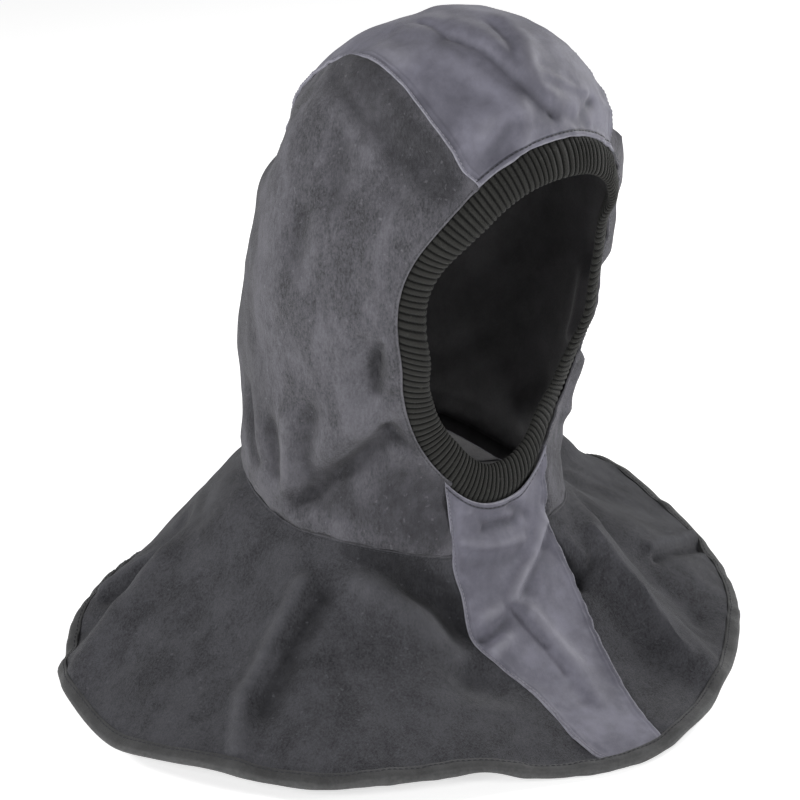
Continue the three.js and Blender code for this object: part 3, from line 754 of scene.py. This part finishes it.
strip_half = curve([  # share, half width on the wearer's right and left
    (0.00, 30, 37.5),
    (0.16, 29.5, 41),
    (0.34, 33, 40.5),
    (0.48, 27, 37),
    (0.60, 22, 33),
    (0.75, 22, 26.5),
    (0.88, 23.5, 21),
    (1.00, 20, 16),
])


def strip_angle(t, side, under=0.0):
    """Angle of the cape at the front strip's edge, or at a set distance under it."""
    low, high = np.zeros_like(t), np.full_like(t, 70.0)
    for _ in range(32):
        middle = (low + high) / 2
        wide = np.abs(cape(side * middle, t)[..., 0]) > strip_half(t)[0 if side < 0 else 1] - under
        high, low = np.where(wide, middle, high), np.where(wide, low, middle)
    return side * low


def brushed_finish(name, dark, light, pale):
    """Dark mottled cotton with a short raised nap and a little lint."""
    finish, tree, shader = new_finish(name)
    spot, edge = in_space(tree), stored(tree, "edge_mm")
    weave = use(tree, twill, Place=on_cloth(tree), Thread_mm=0.9)
    patches = use(tree, mottle, Place=spot, Patch_mm=20.0, Upright=0.5)
    seam = use(tree, sewn_edge, Place=spot, From_edge_mm=edge, Lip_mm=0.9, Stitch_mm=STITCH_IN)
    relief = use(tree, fold_shading, Place=spot, Rub=stored(tree, "rub"))
    colour = blend(tree, patches["Shade"], dark, light)
    colour = tint(tree, colour, patches["Fibres"], 0.42, pale)
    # Painted highlight on crease ridges and painted shade in crease valleys
    colour = tint(tree, colour, relief["Pale"], 0.4, pale)
    colour = tint(tree, colour, relief["Deep"], 0.7, dark)
    colour = tint(tree, colour, patches["Lint"], 0.35, pale)
    # Painted shade in the stitch groove and a painted highlight on the edge lip
    colour = tint(tree, colour, seam["Groove"], 0.55, dark)
    colour = tint(tree, colour, seam["Lip"], 0.4, pale)
    threads = work(tree, "MULTIPLY", weave["Height"], 0.5)
    finish_cloth(
        tree, shader, colour,
        roughness=fit(tree, patches["Fibres"], 0.0, 1.0, 0.85, 0.97),
        height=work(tree, "MULTIPLY_ADD", patches["Fibres"], 1.4, threads),
        bump=(0.6, 0.0003),
        levels={"Sheen Weight": 0.1, "Sheen Roughness": 0.5, "Specular IOR Level": 0.15},
    )
    return finish


# The cape is the same brushed cotton as the side panels; its colours are darkened to about 0.6 of theirs to
# paint in the shade on the cape
CAPE_SHADED_DARK, CAPE_SHADED_LIGHT, CAPE_SHADED_PALE = linear(31, 31, 34), linear(62, 62, 66), linear(99, 99, 104)
shaded_cape_cotton = brushed_finish("brushed cotton painted darker for shade", CAPE_SHADED_DARK, CAPE_SHADED_LIGHT, CAPE_SHADED_PALE)
cape_t = spread(72, 150, end=False)
share, t = np.meshgrid(spread(560, 900), cape_t, indexing="ij")
under = UNDER_STRIP * ease((1 - cape_t) / UNDER_SPAN)
first, last = strip_angle(cape_t, 1, under), strip_angle(cape_t, -1, under)
cape_grid = cape(first + (360 + last - first) * share, t)
cape_top = from_edge(cape_grid, 1)
cape_sides = nearest_edge(cape_grid, 0) - under
cape_creases = folds(cape_grid, CAPE_CREASES, lay=True)
cape_height = cape_creases * ease(cape_top / CAPE_CALM)
cape_height += slack(cape_grid, CAPE_SLACK) * ease(cape_top / CAPE_SMOOTH)
cape_height *= ease(np.maximum(cape_sides, 0) / SIDE_EDGE_CALM + 0.3)
cape_height += pucker(cape_grid, cape_top, 13, 0.3)
cape_height += NECK_LIP * np.exp(-((cape_top / NECK_LIP_REACH) ** 2))
cape_height -= UNDER_DROP * (1 - ease((cape_sides + UNDER_START) / UNDER_STRIP))
cape_grid = raised(cape_grid, -1, cape_height)
# Crease heights give the painted fold light and shade; the top edge distance gives the painted lip
# highlight
cape_piece = cloth("cape_cloth", cape_grid, CLOTH_WALL, -1, fine_edge(cape_top), cape_creases / FOLD_SHADE_FULL,
                   [shaded_cape_cotton, cloth_inside], cut=cape_grid[..., :2])
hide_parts("cape")
neck_stitches = stitches("neck_stitches", [row_line(cape_grid, -1, 1, FINE_STITCH_IN)],
                         dark_thread, "brushed_cloth", **FINE_STITCH)


# Front strip
# A band of the same smooth cotton as the crown, from the chin down to the hem of the cape.
# It covers the front opening; both long edges are turned under and sewn down with pale thread.

STRIP_TOP_HALF, STRIP_TOP_Y, STRIP_TOP_Z, STRIP_TOP_RISE, STRIP_TOP_BOW = 37.0, -54.0, -266.0, 17.0, 5.0
STRIP_LAP, STRIP_LIFT = 1.06, 0.6


def strip(q, t):
    """Front strip: q across, t from 0 at the face to 1 at the neck and 2 at the hem."""
    down = np.maximum(t - 1, 0)
    edge = np.where(q < 0, strip_angle(down, -1), strip_angle(down, 1))
    low = cape(np.abs(q) * edge, down)
    rise = STRIP_TOP_RISE * np.abs(q) ** CROWN_ROUNDNESS
    top = xyz(q * STRIP_TOP_HALF, STRIP_TOP_Y + STRIP_TOP_BOW * q * q, STRIP_TOP_Z + rise)
    return top + (low - top) * np.clip(t, 0, 1)[..., None]


STRIP_FOLDS = [  # line, width, height, sharpness
    ([(33, -50, -288), (24, -56, -301), (11, -61, -308), (-4, -66, -320)], 4.5, 3.2, 1.8),
    ([(32, -56, -301), (18, -61, -310), (3, -67, -321)], 5, -2.4, 1.8),
    ([(-5, -67, -323), (3, -84, -342)], 2.8, -2.3, 1.5),
    ([(4, -90, -347), (4, -99, -354)], 3.2, -1.1, 1.7),
    ([(2, -106, -359), (0, -116, -365)], 4.5, -0.6, 2),
    ([(3, -69, -323), (11, -85, -343), (13, -97, -353)], 5.5, 2.2, 2),
    ([(13, -104, -358), (9, -118, -367)], 6, 1.0, 2),
    ([(-12, -69, -327), (-23, -71, -333), (-31, -68, -334)], 3.8, -2.3, 1.7),
    ([(-19, -74, -336), (-28, -75, -339)], 5, 2.4, 2),
    ([(-16, -66, -322), (-24, -65, -324)], 5, 2.0, 2),
    ([(-22, -52, -271), (-12, -54, -279), (10, -56, -281)], 4, -2.4, 2),
    ([(-24, -51, -267), (-17, -53, -277)], 3, 2.0, 2),
    ([(6, -55, -271), (22, -52, -281)], 4, -1.8, 2),
    ([(-28, -52, -284), (-8, -57, -290), (14, -57, -291)], 3.5, 1.5, 2),
    ([(-28, -54, -296), (0, -58, -300), (12, -58, -300)], 5, -1.4, 2),
]
STRIP_SLACK = [(0.5, 32, 21)]  # height, length, seed
STRIP_CALM, HEM_FADE, HEM_SHARE = 8.0, 10.0, 0.25

strip_q = STRIP_LAP * (2 * spread(40, 70) - 1)
strip_t = np.concatenate([spread(24, 30, end=False), 1 + np.linspace(0, 1, 76)[1:]])
strip_grid = strip(*np.meshgrid(strip_q, strip_t, indexing="ij"))
strip_edge, strip_top = nearest_edge(strip_grid, 0), from_edge(strip_grid, 1)
strip_rim = np.minimum(strip_edge, strip_top)
strip_creases = folds(strip_grid, STRIP_FOLDS, lay=True)
strip_height = (strip_creases + slack(strip_grid, STRIP_SLACK)) * ease(strip_rim / STRIP_CALM + 0.2)
strip_height += turned_edge(strip_rim) + pucker(strip_grid, strip_edge, 22)
above_hem = ease(from_edge(strip_grid, 1, last=True) / HEM_FADE)
strip_height = (strip_height + STRIP_LIFT) * (HEM_SHARE + (1 - HEM_SHARE) * above_hem)
strip_grid = raised(strip_grid, -1, strip_height)
# Crease heights give the painted fold light and shade; edge distances give the painted lip highlight and
# groove shade
strip_piece = cloth("front_strip_cloth", strip_grid, FACING_WALL, -1,
                    np.minimum(fine_edge(strip_edge), strip_top), strip_creases / FOLD_SHADE_FULL,
                    [smooth_cotton, cloth_inside])
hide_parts("front_strip")
strip_stitches = stitches(
    "strip_edge_stitches",
    [row_line(strip_grid, -1, 0, FINE_STITCH_IN, last) for last in (False, True)],
    pale_thread, "smooth_cloth", **FINE_STITCH,
)
chin_stitches = stitches("chin_stitches", [row_line(strip_grid, -1, 1, STITCH_IN)],
                         dark_thread, "smooth_cloth")


# Side panels
# Two shaped panels of dark brushed cotton, one over each ear, from the crown seam to the neck.
# Their front edges carry the knitted band; the other edges run in under the crown and the strip.

CROWN_SHARE, FACE_SHARE, CROWN_MEETING, SIDE_FIRST_ROW = 0.3, 0.86, 0.45, 0.012
SIDE_FULLNESS, SIDE_NECK_BLEND = 1.05, 0.6
NECK_FADE, STRIP_TUCK, UNDER_BLEND = 24.0, 4.2, 0.03

face_seam = curve([  # share, x, y, z
    (0.00, 51, -82.8, -77.2),
    (0.14, 67, -72, -98),
    (0.26, 74, -60, -117),
    (0.36, 78, -54, -135),
    (0.46, 78, -52, -153),
    (0.58, 75, -52, -173),
    (0.70, 70, -48, -193),
    (0.82, 60, -45, -216),
    (0.91, 50, -46, -233),
    (1.00, 37, -49, -249),
])
side_rows = curve([  # share, place on the back seam, half width, y
    (0.00, 0.45, 53, 4),
    (0.12, 0.56, 72, 3),
    (0.25, 0.63, 84, 8),
    (0.40, 0.72, 94, 20),
    (0.55, 0.80, 97, 26),
    (0.70, 0.87, 95, 31),
    (0.85, 0.94, 90, 32),
    (1.00, 1.00, 85, 28),
])


def side_front(v, side):
    """Front edge of a side panel: crown seam, face seam, then strip edge."""
    above = crown(CROWN_MEETING * np.clip(1 - v / CROWN_SHARE, 0, 1), np.full_like(v, side))
    x, y, z = face_seam(np.clip((v - CROWN_SHARE) / (FACE_SHARE - CROWN_SHARE), 0, 1))
    face = xyz(side * x, y, z)
    under = UNDER_STRIP / STRIP_TOP_HALF * ease((v - FACE_SHARE) / UNDER_BLEND)
    below = strip(side * (1 - under), np.clip((v - FACE_SHARE) / (1 - FACE_SHARE), 0, 1))
    point = np.where((v > FACE_SHARE)[..., None], below, face)
    return np.where((v < CROWN_SHARE)[..., None], above, point)


def side_arc(u, v, side):
    """One row of a side panel as a full arc from its front edge to the back seam."""
    front, (meets, half, y) = side_front(v, side), side_rows(v)
    back = crown(meets, np.full_like(v, side))
    middle = xyz(side * half, y, (front[..., 2] + back[..., 2]) / 2)
    pull = (middle * (2 + 2 * SIDE_FULLNESS) - front - back) / (2 * SIDE_FULLNESS)
    u = u[..., None]
    a, b, c = (1 - u) ** 2, 2 * SIDE_FULLNESS * u * (1 - u), u * u
    return (front * a + pull * b + back * c) / (a + b + c)


def side_panel(u, v, side):
    """Side panel, drawn to the neck ring at its foot."""
    first = strip_angle(np.zeros(1), side, UNDER_STRIP)[0]
    ring = neck(first + (side * NAPE_ANGLE - first) * u)
    low = side_arc(u, np.ones_like(v), side)
    draw = ease((v - SIDE_NECK_BLEND) / (1 - SIDE_NECK_BLEND))
    return side_arc(u, v, side) + (ring - low) * draw[..., None]


SIDE_FOLDS = [  # line, width, height, sharpness
    ([(-84, -36, -164), (-82, -33, -194)], 7, -5, 2),
    ([(-74, -28, -230), (-88, 10, -260)], 11, -6, 2),
    ([(-80, 40, -225), (-80, 45, -275)], 9, 4, 2),
    ([(-66, 78, -235), (-66, 80, -268)], 10, -4, 2),
    ([(84, -36, -166), (81, -33, -196)], 8, -4, 2),
    ([(75, -27, -230), (88, 10, -258)], 11, -5, 2),
    ([(74, -35, -208), (68, -32, -234)], 8, 8, 2),
    ([(-74, 44, -72), (-30, 84, -80)], 14, -8, 2),
    ([(60, -67, -78), (72, -60, -92), (81, -49, -113), (86, -40, -146)], 9, 9, 2),
    ([(-60, -67, -78), (-72, -60, -92), (-80, -50, -110), (-84, -43, -127)], 9, 3, 2),
]
SIDE_CREASES = [  # line, width, height, sharpness
    ([(-66, 2, -34), (-72, -18, -42), (-74, -34, -54), (-69, -48, -61), (-64, -60, -68)], 9, -2.4, 2),
    ([(-82, -15, -62), (-86, -18, -90)], 8, -1.8, 2),
    ([(-74, -42, -62), (-76, -49, -84)], 5, -1.6, 2),
    ([(-97, -1, -100), (-99, 3, -128)], 8, -1.8, 2),
    ([(-80, -41, -163), (-79, -40, -171), (-77, -37, -181)], 2.8, -2.4, 1.7),
    ([(-79, -40, -171), (-77, -36, -188)], 5, -2.0, 2),
    ([(-69, -37, -214), (-72, -22, -228), (-76, -7, -243), (-80, 5, -255), (-84, 18, -263)], 6, -4.2, 1.8),
    ([(-78, -22, -212), (-83, -4, -228)], 8, 1.2, 2),
    ([(-70, -36, -214), (-59, -42, -225)], 3.5, -2.2, 1.8),
    ([(-60, -36, -250), (-48, -45, -258)], 15, -3.0, 2),
    ([(-93, 16, -214), (-90, 18, -236), (-87, 19, -248), (-85, 21, -260)], 5.5, 3.0, 1.8),
    ([(-92, 29, -222), (-90, 27, -238), (-89, 28, -250)], 5, -2.6, 1.8),
    ([(-91, -2, -208), (-90, 2, -223), (-86, 8, -242)], 7, -2.2, 2),
    ([(-84, 58, -214), (-89, 46, -247)], 6, -3.0, 1.8),
]
SIDE_PAINTED_SHADE = [  # line, width, darkness, sharpness: painted shade on the panel
    ([(-56, 7, -26), (-63, -10, -28), (-68, -37, -42), (-66, -52, -56), (-60, -67, -78)], 11, -0.75, 2),
    ([(-79, -2, -259), (-70, -24, -266), (-55, -38, -275), (-41, -47, -279)], 10, -0.4, 2),
    ([(-51, -42, -255), (-42, -46, -262)], 14, -0.4, 2),
    ([(-80, -40, -163), (-77, -36, -189)], 4, -0.4, 2),
    ([(-80, 5, -255), (-75, -8, -250)], 9, -0.3, 2),
    ([(-80, 62, -90), (-86, 60, -150), (-86, 58, -215)], 34, -0.45, 2),
]
SIDE_DARK, SIDE_LIGHT, SIDE_PALE = linear(43, 43, 46), linear(91, 90, 96), linear(124, 123, 129)
SEAM_STEP, NO_SEAM = 0.012, 60.0
SIDE_CALM, SIDE_SMOOTH, TUCK_REACH = 12.0, 14.0, 7.0
CROWN_ROWS, FACE_ROWS = 40, 90

side_cotton = brushed_finish("brushed grey cotton", SIDE_DARK, SIDE_LIGHT, SIDE_PALE)
side_v = np.concatenate([
    np.linspace(SIDE_FIRST_ROW, CROWN_SHARE, CROWN_ROWS)[:-1],
    np.linspace(CROWN_SHARE, FACE_SHARE, FACE_ROWS)[:-1],
    FACE_SHARE + (1 - FACE_SHARE) * spread(16, 40, start=False),
])
u, v = np.meshgrid(spread(84, 190), side_v, indexing="ij")
at_face = ease((v - CROWN_SHARE) / SEAM_STEP) * ease((FACE_SHARE - v) / SEAM_STEP)
for side, word in ((-1, "right"), (1, "left")):
    grid, turn = side_panel(u, v, side), -side
    front, back = from_edge(grid, 0), from_edge(grid, 0, last=True)
    foot = from_edge(grid, 1, last=True)
    rim = np.minimum(np.minimum(front, back), foot)
    angle = np.degrees(np.arctan2(grid[..., 0], (NECK_FRONT + NECK_BACK) / 2 - grid[..., 1]))
    creases = folds(grid, SIDE_CREASES, lay=True)
    # The creases' painted light and shade, with the panel's painted shade from the table above
    rub = creases / FOLD_SHADE_FULL + folds(grid, SIDE_PAINTED_SHADE, lay=True)
    height = folds(grid, SIDE_FOLDS) * ease((grid[..., 2] - neck_ring(angle)[0]) / NECK_FADE)
    height += creases * ease(rim / SIDE_CALM + 0.15)
    height += slack(grid, [(0.7, 55, 31 + side), (0.2, 18, 35 + side)]) * ease(rim / SIDE_SMOOTH)
    height += turned_edge(2 * front) * 0.5 * at_face + tucked_edge(front) * (1 - at_face)
    height += tucked_edge(back) + tucked_edge(foot) * 0.6
    under = UNDER_STRIP * ease((v - FACE_SHARE) / UNDER_BLEND)
    height -= STRIP_TUCK * (1 - ease((front - under + 1) / TUCK_REACH)) * ease((v - FACE_SHARE) / SEAM_STEP)
    height += pucker(grid, rim, 38 + side, 0.35)
    grid = raised(grid, turn, height)
    # Edge distances give the painted lip highlight along the face seam
    edge = np.where(at_face > 0.5, fine_edge(front), NO_SEAM)
    sewn_grid = seam_allowance(grid)
    piece = cloth(f"side_cloth_{word}", sewn_grid, CLOTH_WALL, turn, edge, rub, [side_cotton, cloth_inside],
                  cut=sewn_grid[..., 1:])
    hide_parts(f"side_panel_{word}")
    face_row = row_line(grid, turn, 0, FINE_STITCH_IN, start=CROWN_ROWS, stop=CROWN_ROWS + FACE_ROWS - 2)
    sewn = stitches(f"face_stitches_{word}", [face_row], dark_thread, "brushed_cloth", **FINE_STITCH)


# Hem binding
# A narrow dark tape folded over the whole lower edge of the cape and the strip.
# It is sewn through from the front, so that a stitch line runs along its upper edge.

BINDING_SHAPE = np.array([  # down from the edge of the cape, outwards from its outer face
    (-7.0, -0.2), (-7.1, 0.7), (-6.5, 1.2), (-5.4, 1.25), (-4.2, 1.55), (-2.6, 1.75), (-1.0, 1.6),
    (0.4, 1.1), (1.2, 0.2), (1.45, -0.9), (1.2, -2.0), (0.4, -2.9), (-1.0, -3.4), (-2.6, -3.5),
    (-4.2, -3.3), (-5.4, -3.0), (-6.5, -2.9), (-7.1, -2.5), (-7.0, -1.6),
])
BINDING_MIDDLE, BINDING_FOLD, STITCH_POINT = -0.9, 9.5, 3
BINDING_PLUMP = [(0.16, 14, 41)]  # share, length, seed
HEM_ROWS, HEM_EVEN, TURN_EVEN = 6, 12, 8
STRIP_SEEN, CAPE_FREE = 0.97, 2.5
BINDING_DARK, BINDING_LIGHT, BINDING_PALE = linear(38, 38, 39), linear(60, 60, 61), linear(92, 92, 92)
binding_tape, tree, shader = new_finish("dark binding tape")
spot = in_space(tree)
weave = use(tree, twill, Place=on_cloth(tree), Thread_mm=0.55)
patches = use(tree, mottle, Place=spot, Patch_mm=16.0, Upright=1.0)
seam = use(tree, sewn_edge, Place=spot, From_edge_mm=stored(tree, "edge_mm"), Lip_mm=2.6, Stitch_mm=50.0)
colour = blend(tree, patches["Shade"], BINDING_DARK, BINDING_LIGHT)
colour = tint(tree, colour, weave["Shade"], 0.25, BINDING_PALE)
# Painted highlight along the folded lower edge of the tape
colour = tint(tree, colour, seam["Lip"], 0.4, BINDING_PALE)
finish_cloth(
    tree, shader, colour,
    roughness=fit(tree, patches["Fibres"], 0.0, 1.0, 0.75, 0.92),
    height=weave["Height"],
    bump=(0.5, 0.0002),
    levels={"Sheen Weight": 0.1},
)


def smooth_ring(values, times):
    """Values round a ring, evened out with their neighbours."""
    for _ in range(times):
        values = (np.roll(values, 1, 0) + 2 * values + np.roll(values, -1, 0)) / 4
    return values


def ring_faces(stations, around):
    """Faces of a tube that closes on itself: rings of points, joined one to the next."""
    index = np.arange(stations * around).reshape(stations, around)
    ahead, beside = np.roll(index, -1, 0), np.roll(index, -1, 1)
    return np.stack([index, beside, np.roll(ahead, -1, 1), ahead], -1).reshape(-1, 4)


# Hem points once round, strip first, then the cape back to the strip
seen, free = np.abs(strip_q) < STRIP_SEEN, cape_sides[:, -1] > CAPE_FREE
lower = np.concatenate([strip_grid[seen, -HEM_ROWS:], cape_grid[free, -HEM_ROWS:]])
outs = np.concatenate([normals(strip_grid, -1)[seen, -1], normals(cape_grid, -1)[free, -1]])
hem = smooth_ring(lower[:, -1], HEM_EVEN)
outs = unit(smooth_ring(outs, TURN_EVEN))
downs = unit(smooth_ring(unit(lower[:, -1] - lower[:, 0]), TURN_EVEN))
down, lift = BINDING_SHAPE.T
plump = 1 + slack(hem, BINDING_PLUMP)[:, None]
lift = BINDING_MIDDLE + (lift - BINDING_MIDDLE) * plump
ring = hem[:, None] + downs[:, None] * down[:, None] + outs[:, None] * lift[..., None]
stations, around = ring.shape[:2]
over = run_along(BINDING_SHAPE)
uv = np.stack(np.broadcast_arrays(run_along(hem)[:, None], over), -1)
# Distance from the tape's fold, for its painted highlight
edge = np.broadcast_to(np.abs(over - BINDING_FOLD), (stations, around))
binding_piece = new_piece("hem_tape", ring, ring_faces(stations, around), uv, [binding_tape], edge=edge)
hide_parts("hem_binding")
loop = np.arange(stations + 1) % stations
hem_stitches = stitches("hem_stitches", [(ring[loop, STITCH_POINT], outs[loop])], dark_thread, "binding")


# Knitted band
# A doubled band of black ribbed knit round the face opening, folded at its free edge.
# It is stretched a little as it is sewn in, so that its ribs stand straight across the band.

KNIT_SHAPE_WIDTH, KNIT_RIBS, STATIONS_PER_RIB = 18.5, 150, 10
KNIT_SLANT, KNIT_SLANT_AT, KNIT_SLANT_SPAN = 0.55, 0.6, 0.16
KNIT_CORNERS, CHIN_TOP = (0.2, 0.85), -250.0
knit_lean = curve([  # share from the top middle to the bottom middle, direction across the band, width
    (0.00, 0.00, -0.25, -0.97, 20),
    (0.20, -0.45, -0.35, -0.82, 19),
    (0.45, -0.82, -0.50, 0.00, 16),
    (0.70, -0.80, -0.40, 0.45, 17),
    (0.85, -0.50, -0.10, 0.85, 20.5),
    (1.00, 0.00, 0.10, 1.00, 21.5),
])
KNIT_SHAPE = np.array([  # across from the seam, outwards
    (-2.6, -3.2), (-1.2, -2.7), (0.2, -2.0), (1.4, -1.3), (3.0, -0.5), (5.0, 0.2), (7.5, 0.7), (10.0, 0.9),
    (12.5, 0.85), (14.5, 0.6), (16.2, 0.15), (17.4, -0.5), (18.2, -1.3), (18.5, -2.1), (18.2, -2.9),
    (17.4, -3.5), (16.0, -3.9), (13.0, -4.0), (9.0, -4.0), (5.0, -4.0), (1.5, -4.0), (-2.6, -3.9),
])
RIB_RELIEF, RIB_FULLNESS, RIB_LEVEL, BACK_RELIEF, FOLD_RELIEF = 1.1, 0.45, 0.8, -0.6, 0.5
RIB_DRIFT, BAND_SLACK = [(0.22, 26, 51)], [(0.35, 40, 52)]  # height, length, seed
BAND_BACK, BAND_FOLD, CHIN_TUCK, CHIN_FADE = -2.4, 17.0, 4.0, 6.0
KNIT_DARK, KNIT_LIGHT, KNIT_PALE = linear(16, 16, 15), linear(50, 50, 48), linear(80, 80, 77)
rib_knit, tree, shader = new_finish("black rib knit")
loops = use(tree, twill, Place=on_cloth(tree), Thread_mm=1.1)
patches = use(tree, mottle, Place=in_space(tree), Patch_mm=9.0, Upright=1.0)
# Painted highlight on the rib crests and painted shade in the gaps between them: the colour follows the rib
# phase held as edge_mm
colour = blend(tree, fit(tree, stored(tree, "edge_mm"), 0.02, 0.6), KNIT_DARK, KNIT_LIGHT)
colour = tint(tree, colour, patches["Fibres"], 0.25, KNIT_PALE, "SOFT_LIGHT")
colour = tint(tree, colour, patches["Lint"], 0.3, KNIT_PALE)
finish_cloth(
    tree, shader, colour,
    roughness=fit(tree, patches["Fibres"], 0.0, 1.0, 0.8, 0.95),
    height=work(tree, "MULTIPLY_ADD", patches["Fibres"], 0.9, loops["Height"]),
    bump=(0.6, 0.0003),
    levels={"Sheen Weight": 0.08, "Specular IOR Level": 0.15},
)

s = np.linspace(0, 1, 401)
top, bottom = KNIT_CORNERS
over_face = np.clip((s - top) / (bottom - top), 0, 1)
x, y, z = face_seam(over_face)
at_top = crown(np.zeros_like(s), np.clip(s / top, 0, 1))
at_chin = strip(np.clip((1 - s) / (1 - bottom), 0, 1), np.zeros_like(s))
half_seam = np.where((s < top)[:, None], at_top, np.where((s > bottom)[:, None], at_chin, xyz(x, y, z)))
*half_lean, half_width = knit_lean(s)
half_lean = unit(np.stack(half_lean, -1))
half_slant = KNIT_SLANT * np.exp(-(((s - KNIT_SLANT_AT) / KNIT_SLANT_SPAN) ** 2))
mirror = np.array([-1, 1, 1])
seam = np.concatenate([half_seam, (half_seam * mirror)[-2::-1]])
lean = np.concatenate([half_lean, (half_lean * mirror)[-2::-1]])
width = np.concatenate([half_width, half_width[-2::-1]])
slant = np.concatenate([half_slant, -half_slant[-2::-1]])
run = run_along(seam)
stations, around = KNIT_RIBS * STATIONS_PER_RIB, len(KNIT_SHAPE)
place_on = np.arange(stations) / stations * run[-1]
seam = smooth_ring(read_along(place_on, run, seam), 6)
lean = unit(smooth_ring(unit(read_along(place_on, run, lean)), 40))
width, slant = np.interp(place_on, run, width), np.interp(place_on, run, slant)
along = unit(smooth_ring(np.roll(seam, -8, 0) - np.roll(seam, 8, 0), 30))
out = unit(np.cross(lean, along))
phase = 2 * np.pi * (np.arange(stations) / STATIONS_PER_RIB + slack(seam, RIB_DRIFT))
rib = 0.5 + 0.5 * np.cos(phase)
relief = RIB_RELIEF * (rib[:, None] ** RIB_FULLNESS - RIB_LEVEL)
across, rise = KNIT_SHAPE.T
shown = np.clip((across + 0.5) / 2.5, 0, 1)
lift = rise + relief * shown * np.where(rise > BAND_BACK, 1, BACK_RELIEF)
lift = lift + slack(seam, BAND_SLACK)[:, None] * shown
reach = np.where(across < 1, across, across / KNIT_SHAPE_WIDTH * width[:, None])
reach = reach + np.where(across > BAND_FOLD, FOLD_RELIEF, 0) * relief
reach = reach - np.where(across < -2, CHIN_TUCK, 0) * ease((CHIN_TOP - seam[:, 2:]) / CHIN_FADE)
slope = lean + along * slant[:, None]
ring = seam[:, None] + slope[:, None] * reach[..., None] + out[:, None] * lift[..., None]
uv = np.stack(np.broadcast_arrays(place_on[:, None], run_along(KNIT_SHAPE)), -1)
# edge_mm holds the rib phase here, for the painted rib light and shade
knit_piece = new_piece("knit_band", ring, ring_faces(stations, around), uv, [rib_knit],
                       edge=np.broadcast_to(rib[:, None], (stations, around)), sharp=70)
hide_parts("face_rib")


# Floor, light and camera
# A pale floor under the hem, soft lamps to the left, right and front, and the view from the front right.

low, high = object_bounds()
floor_mesh = bpy.data.meshes.new("floor")
FLOOR_HALF, FLOOR_GAP = 6.0, 0.001
corners = [(-1, -1), (1, -1), (1, 1), (-1, 1)]
floor_mesh.from_pydata([(x * FLOOR_HALF, y * FLOOR_HALF, low[2] - FLOOR_GAP) for x, y in corners],
                       [], [(0, 1, 2, 3)])
floor = bpy.data.objects.new("floor", floor_mesh)
bpy.context.scene.collection.objects.link(floor)
paint = bpy.data.materials.new("pale floor")
paint.use_nodes = True
coat = paint.node_tree.nodes["Principled BSDF"]
coat.inputs["Base Color"].default_value = (0.8, 0.8, 0.8, 1)
coat.inputs["Roughness"].default_value = 0.9
coat.inputs["Emission Color"].default_value = (1, 1, 1, 1)
coat.inputs["Emission Strength"].default_value = 0.66
floor_mesh.materials.append(paint)
floor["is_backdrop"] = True

world = bpy.data.worlds.new("studio")
world.use_nodes = True
world.node_tree.nodes["Background"].inputs["Color"].default_value = (1, 1, 1, 1)
world.node_tree.nodes["Background"].inputs["Strength"].default_value = 0.12
bpy.context.scene.world = world

LAMPS = [  # name, from, size, power
    ("left", (-1.6, -0.6, 0.5), 0.4, 12),
    ("behind left", (-1.3, 0.9, 0.7), 0.4, 16),
    ("front", (0.2, -1.8, 0.5), 0.4, 9.5),
    ("right", (1.7, -0.2, 0.6), 0.7, 27),
]
LAMP_AIM = Vector((0, 0, -0.2))
for name, spot, width, power in LAMPS:
    light = bpy.data.lights.new(name, "AREA")
    light.size, light.energy = width, power
    lamp = bpy.data.objects.new(name, light)
    lamp.location = spot
    lamp.rotation_euler = (LAMP_AIM - Vector(spot)).to_track_quat("-Z", "Y").to_euler()
    bpy.context.scene.collection.objects.link(lamp)

AIM, AWAY, AZIMUTH, ELEVATION = (-0.0196, 0.0044, -0.213), 1.555, -45.0, 19.5
LENS = 129.6
a, e = math.radians(AZIMUTH), math.radians(ELEVATION)
back = Vector((math.sin(a) * math.cos(e), -math.cos(a) * math.cos(e), math.sin(e)))
lens = bpy.data.cameras.new("camera")
lens.lens, lens.sensor_width = LENS, 36.0
camera = bpy.data.objects.new("camera", lens)
camera.location = Vector(AIM) + back * AWAY
camera.rotation_euler = back.to_track_quat("Z", "Y").to_euler()
bpy.context.scene.collection.objects.link(camera)
bpy.context.scene.camera = camera
bpy.context.scene.view_settings.view_transform = "Standard"

low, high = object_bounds()
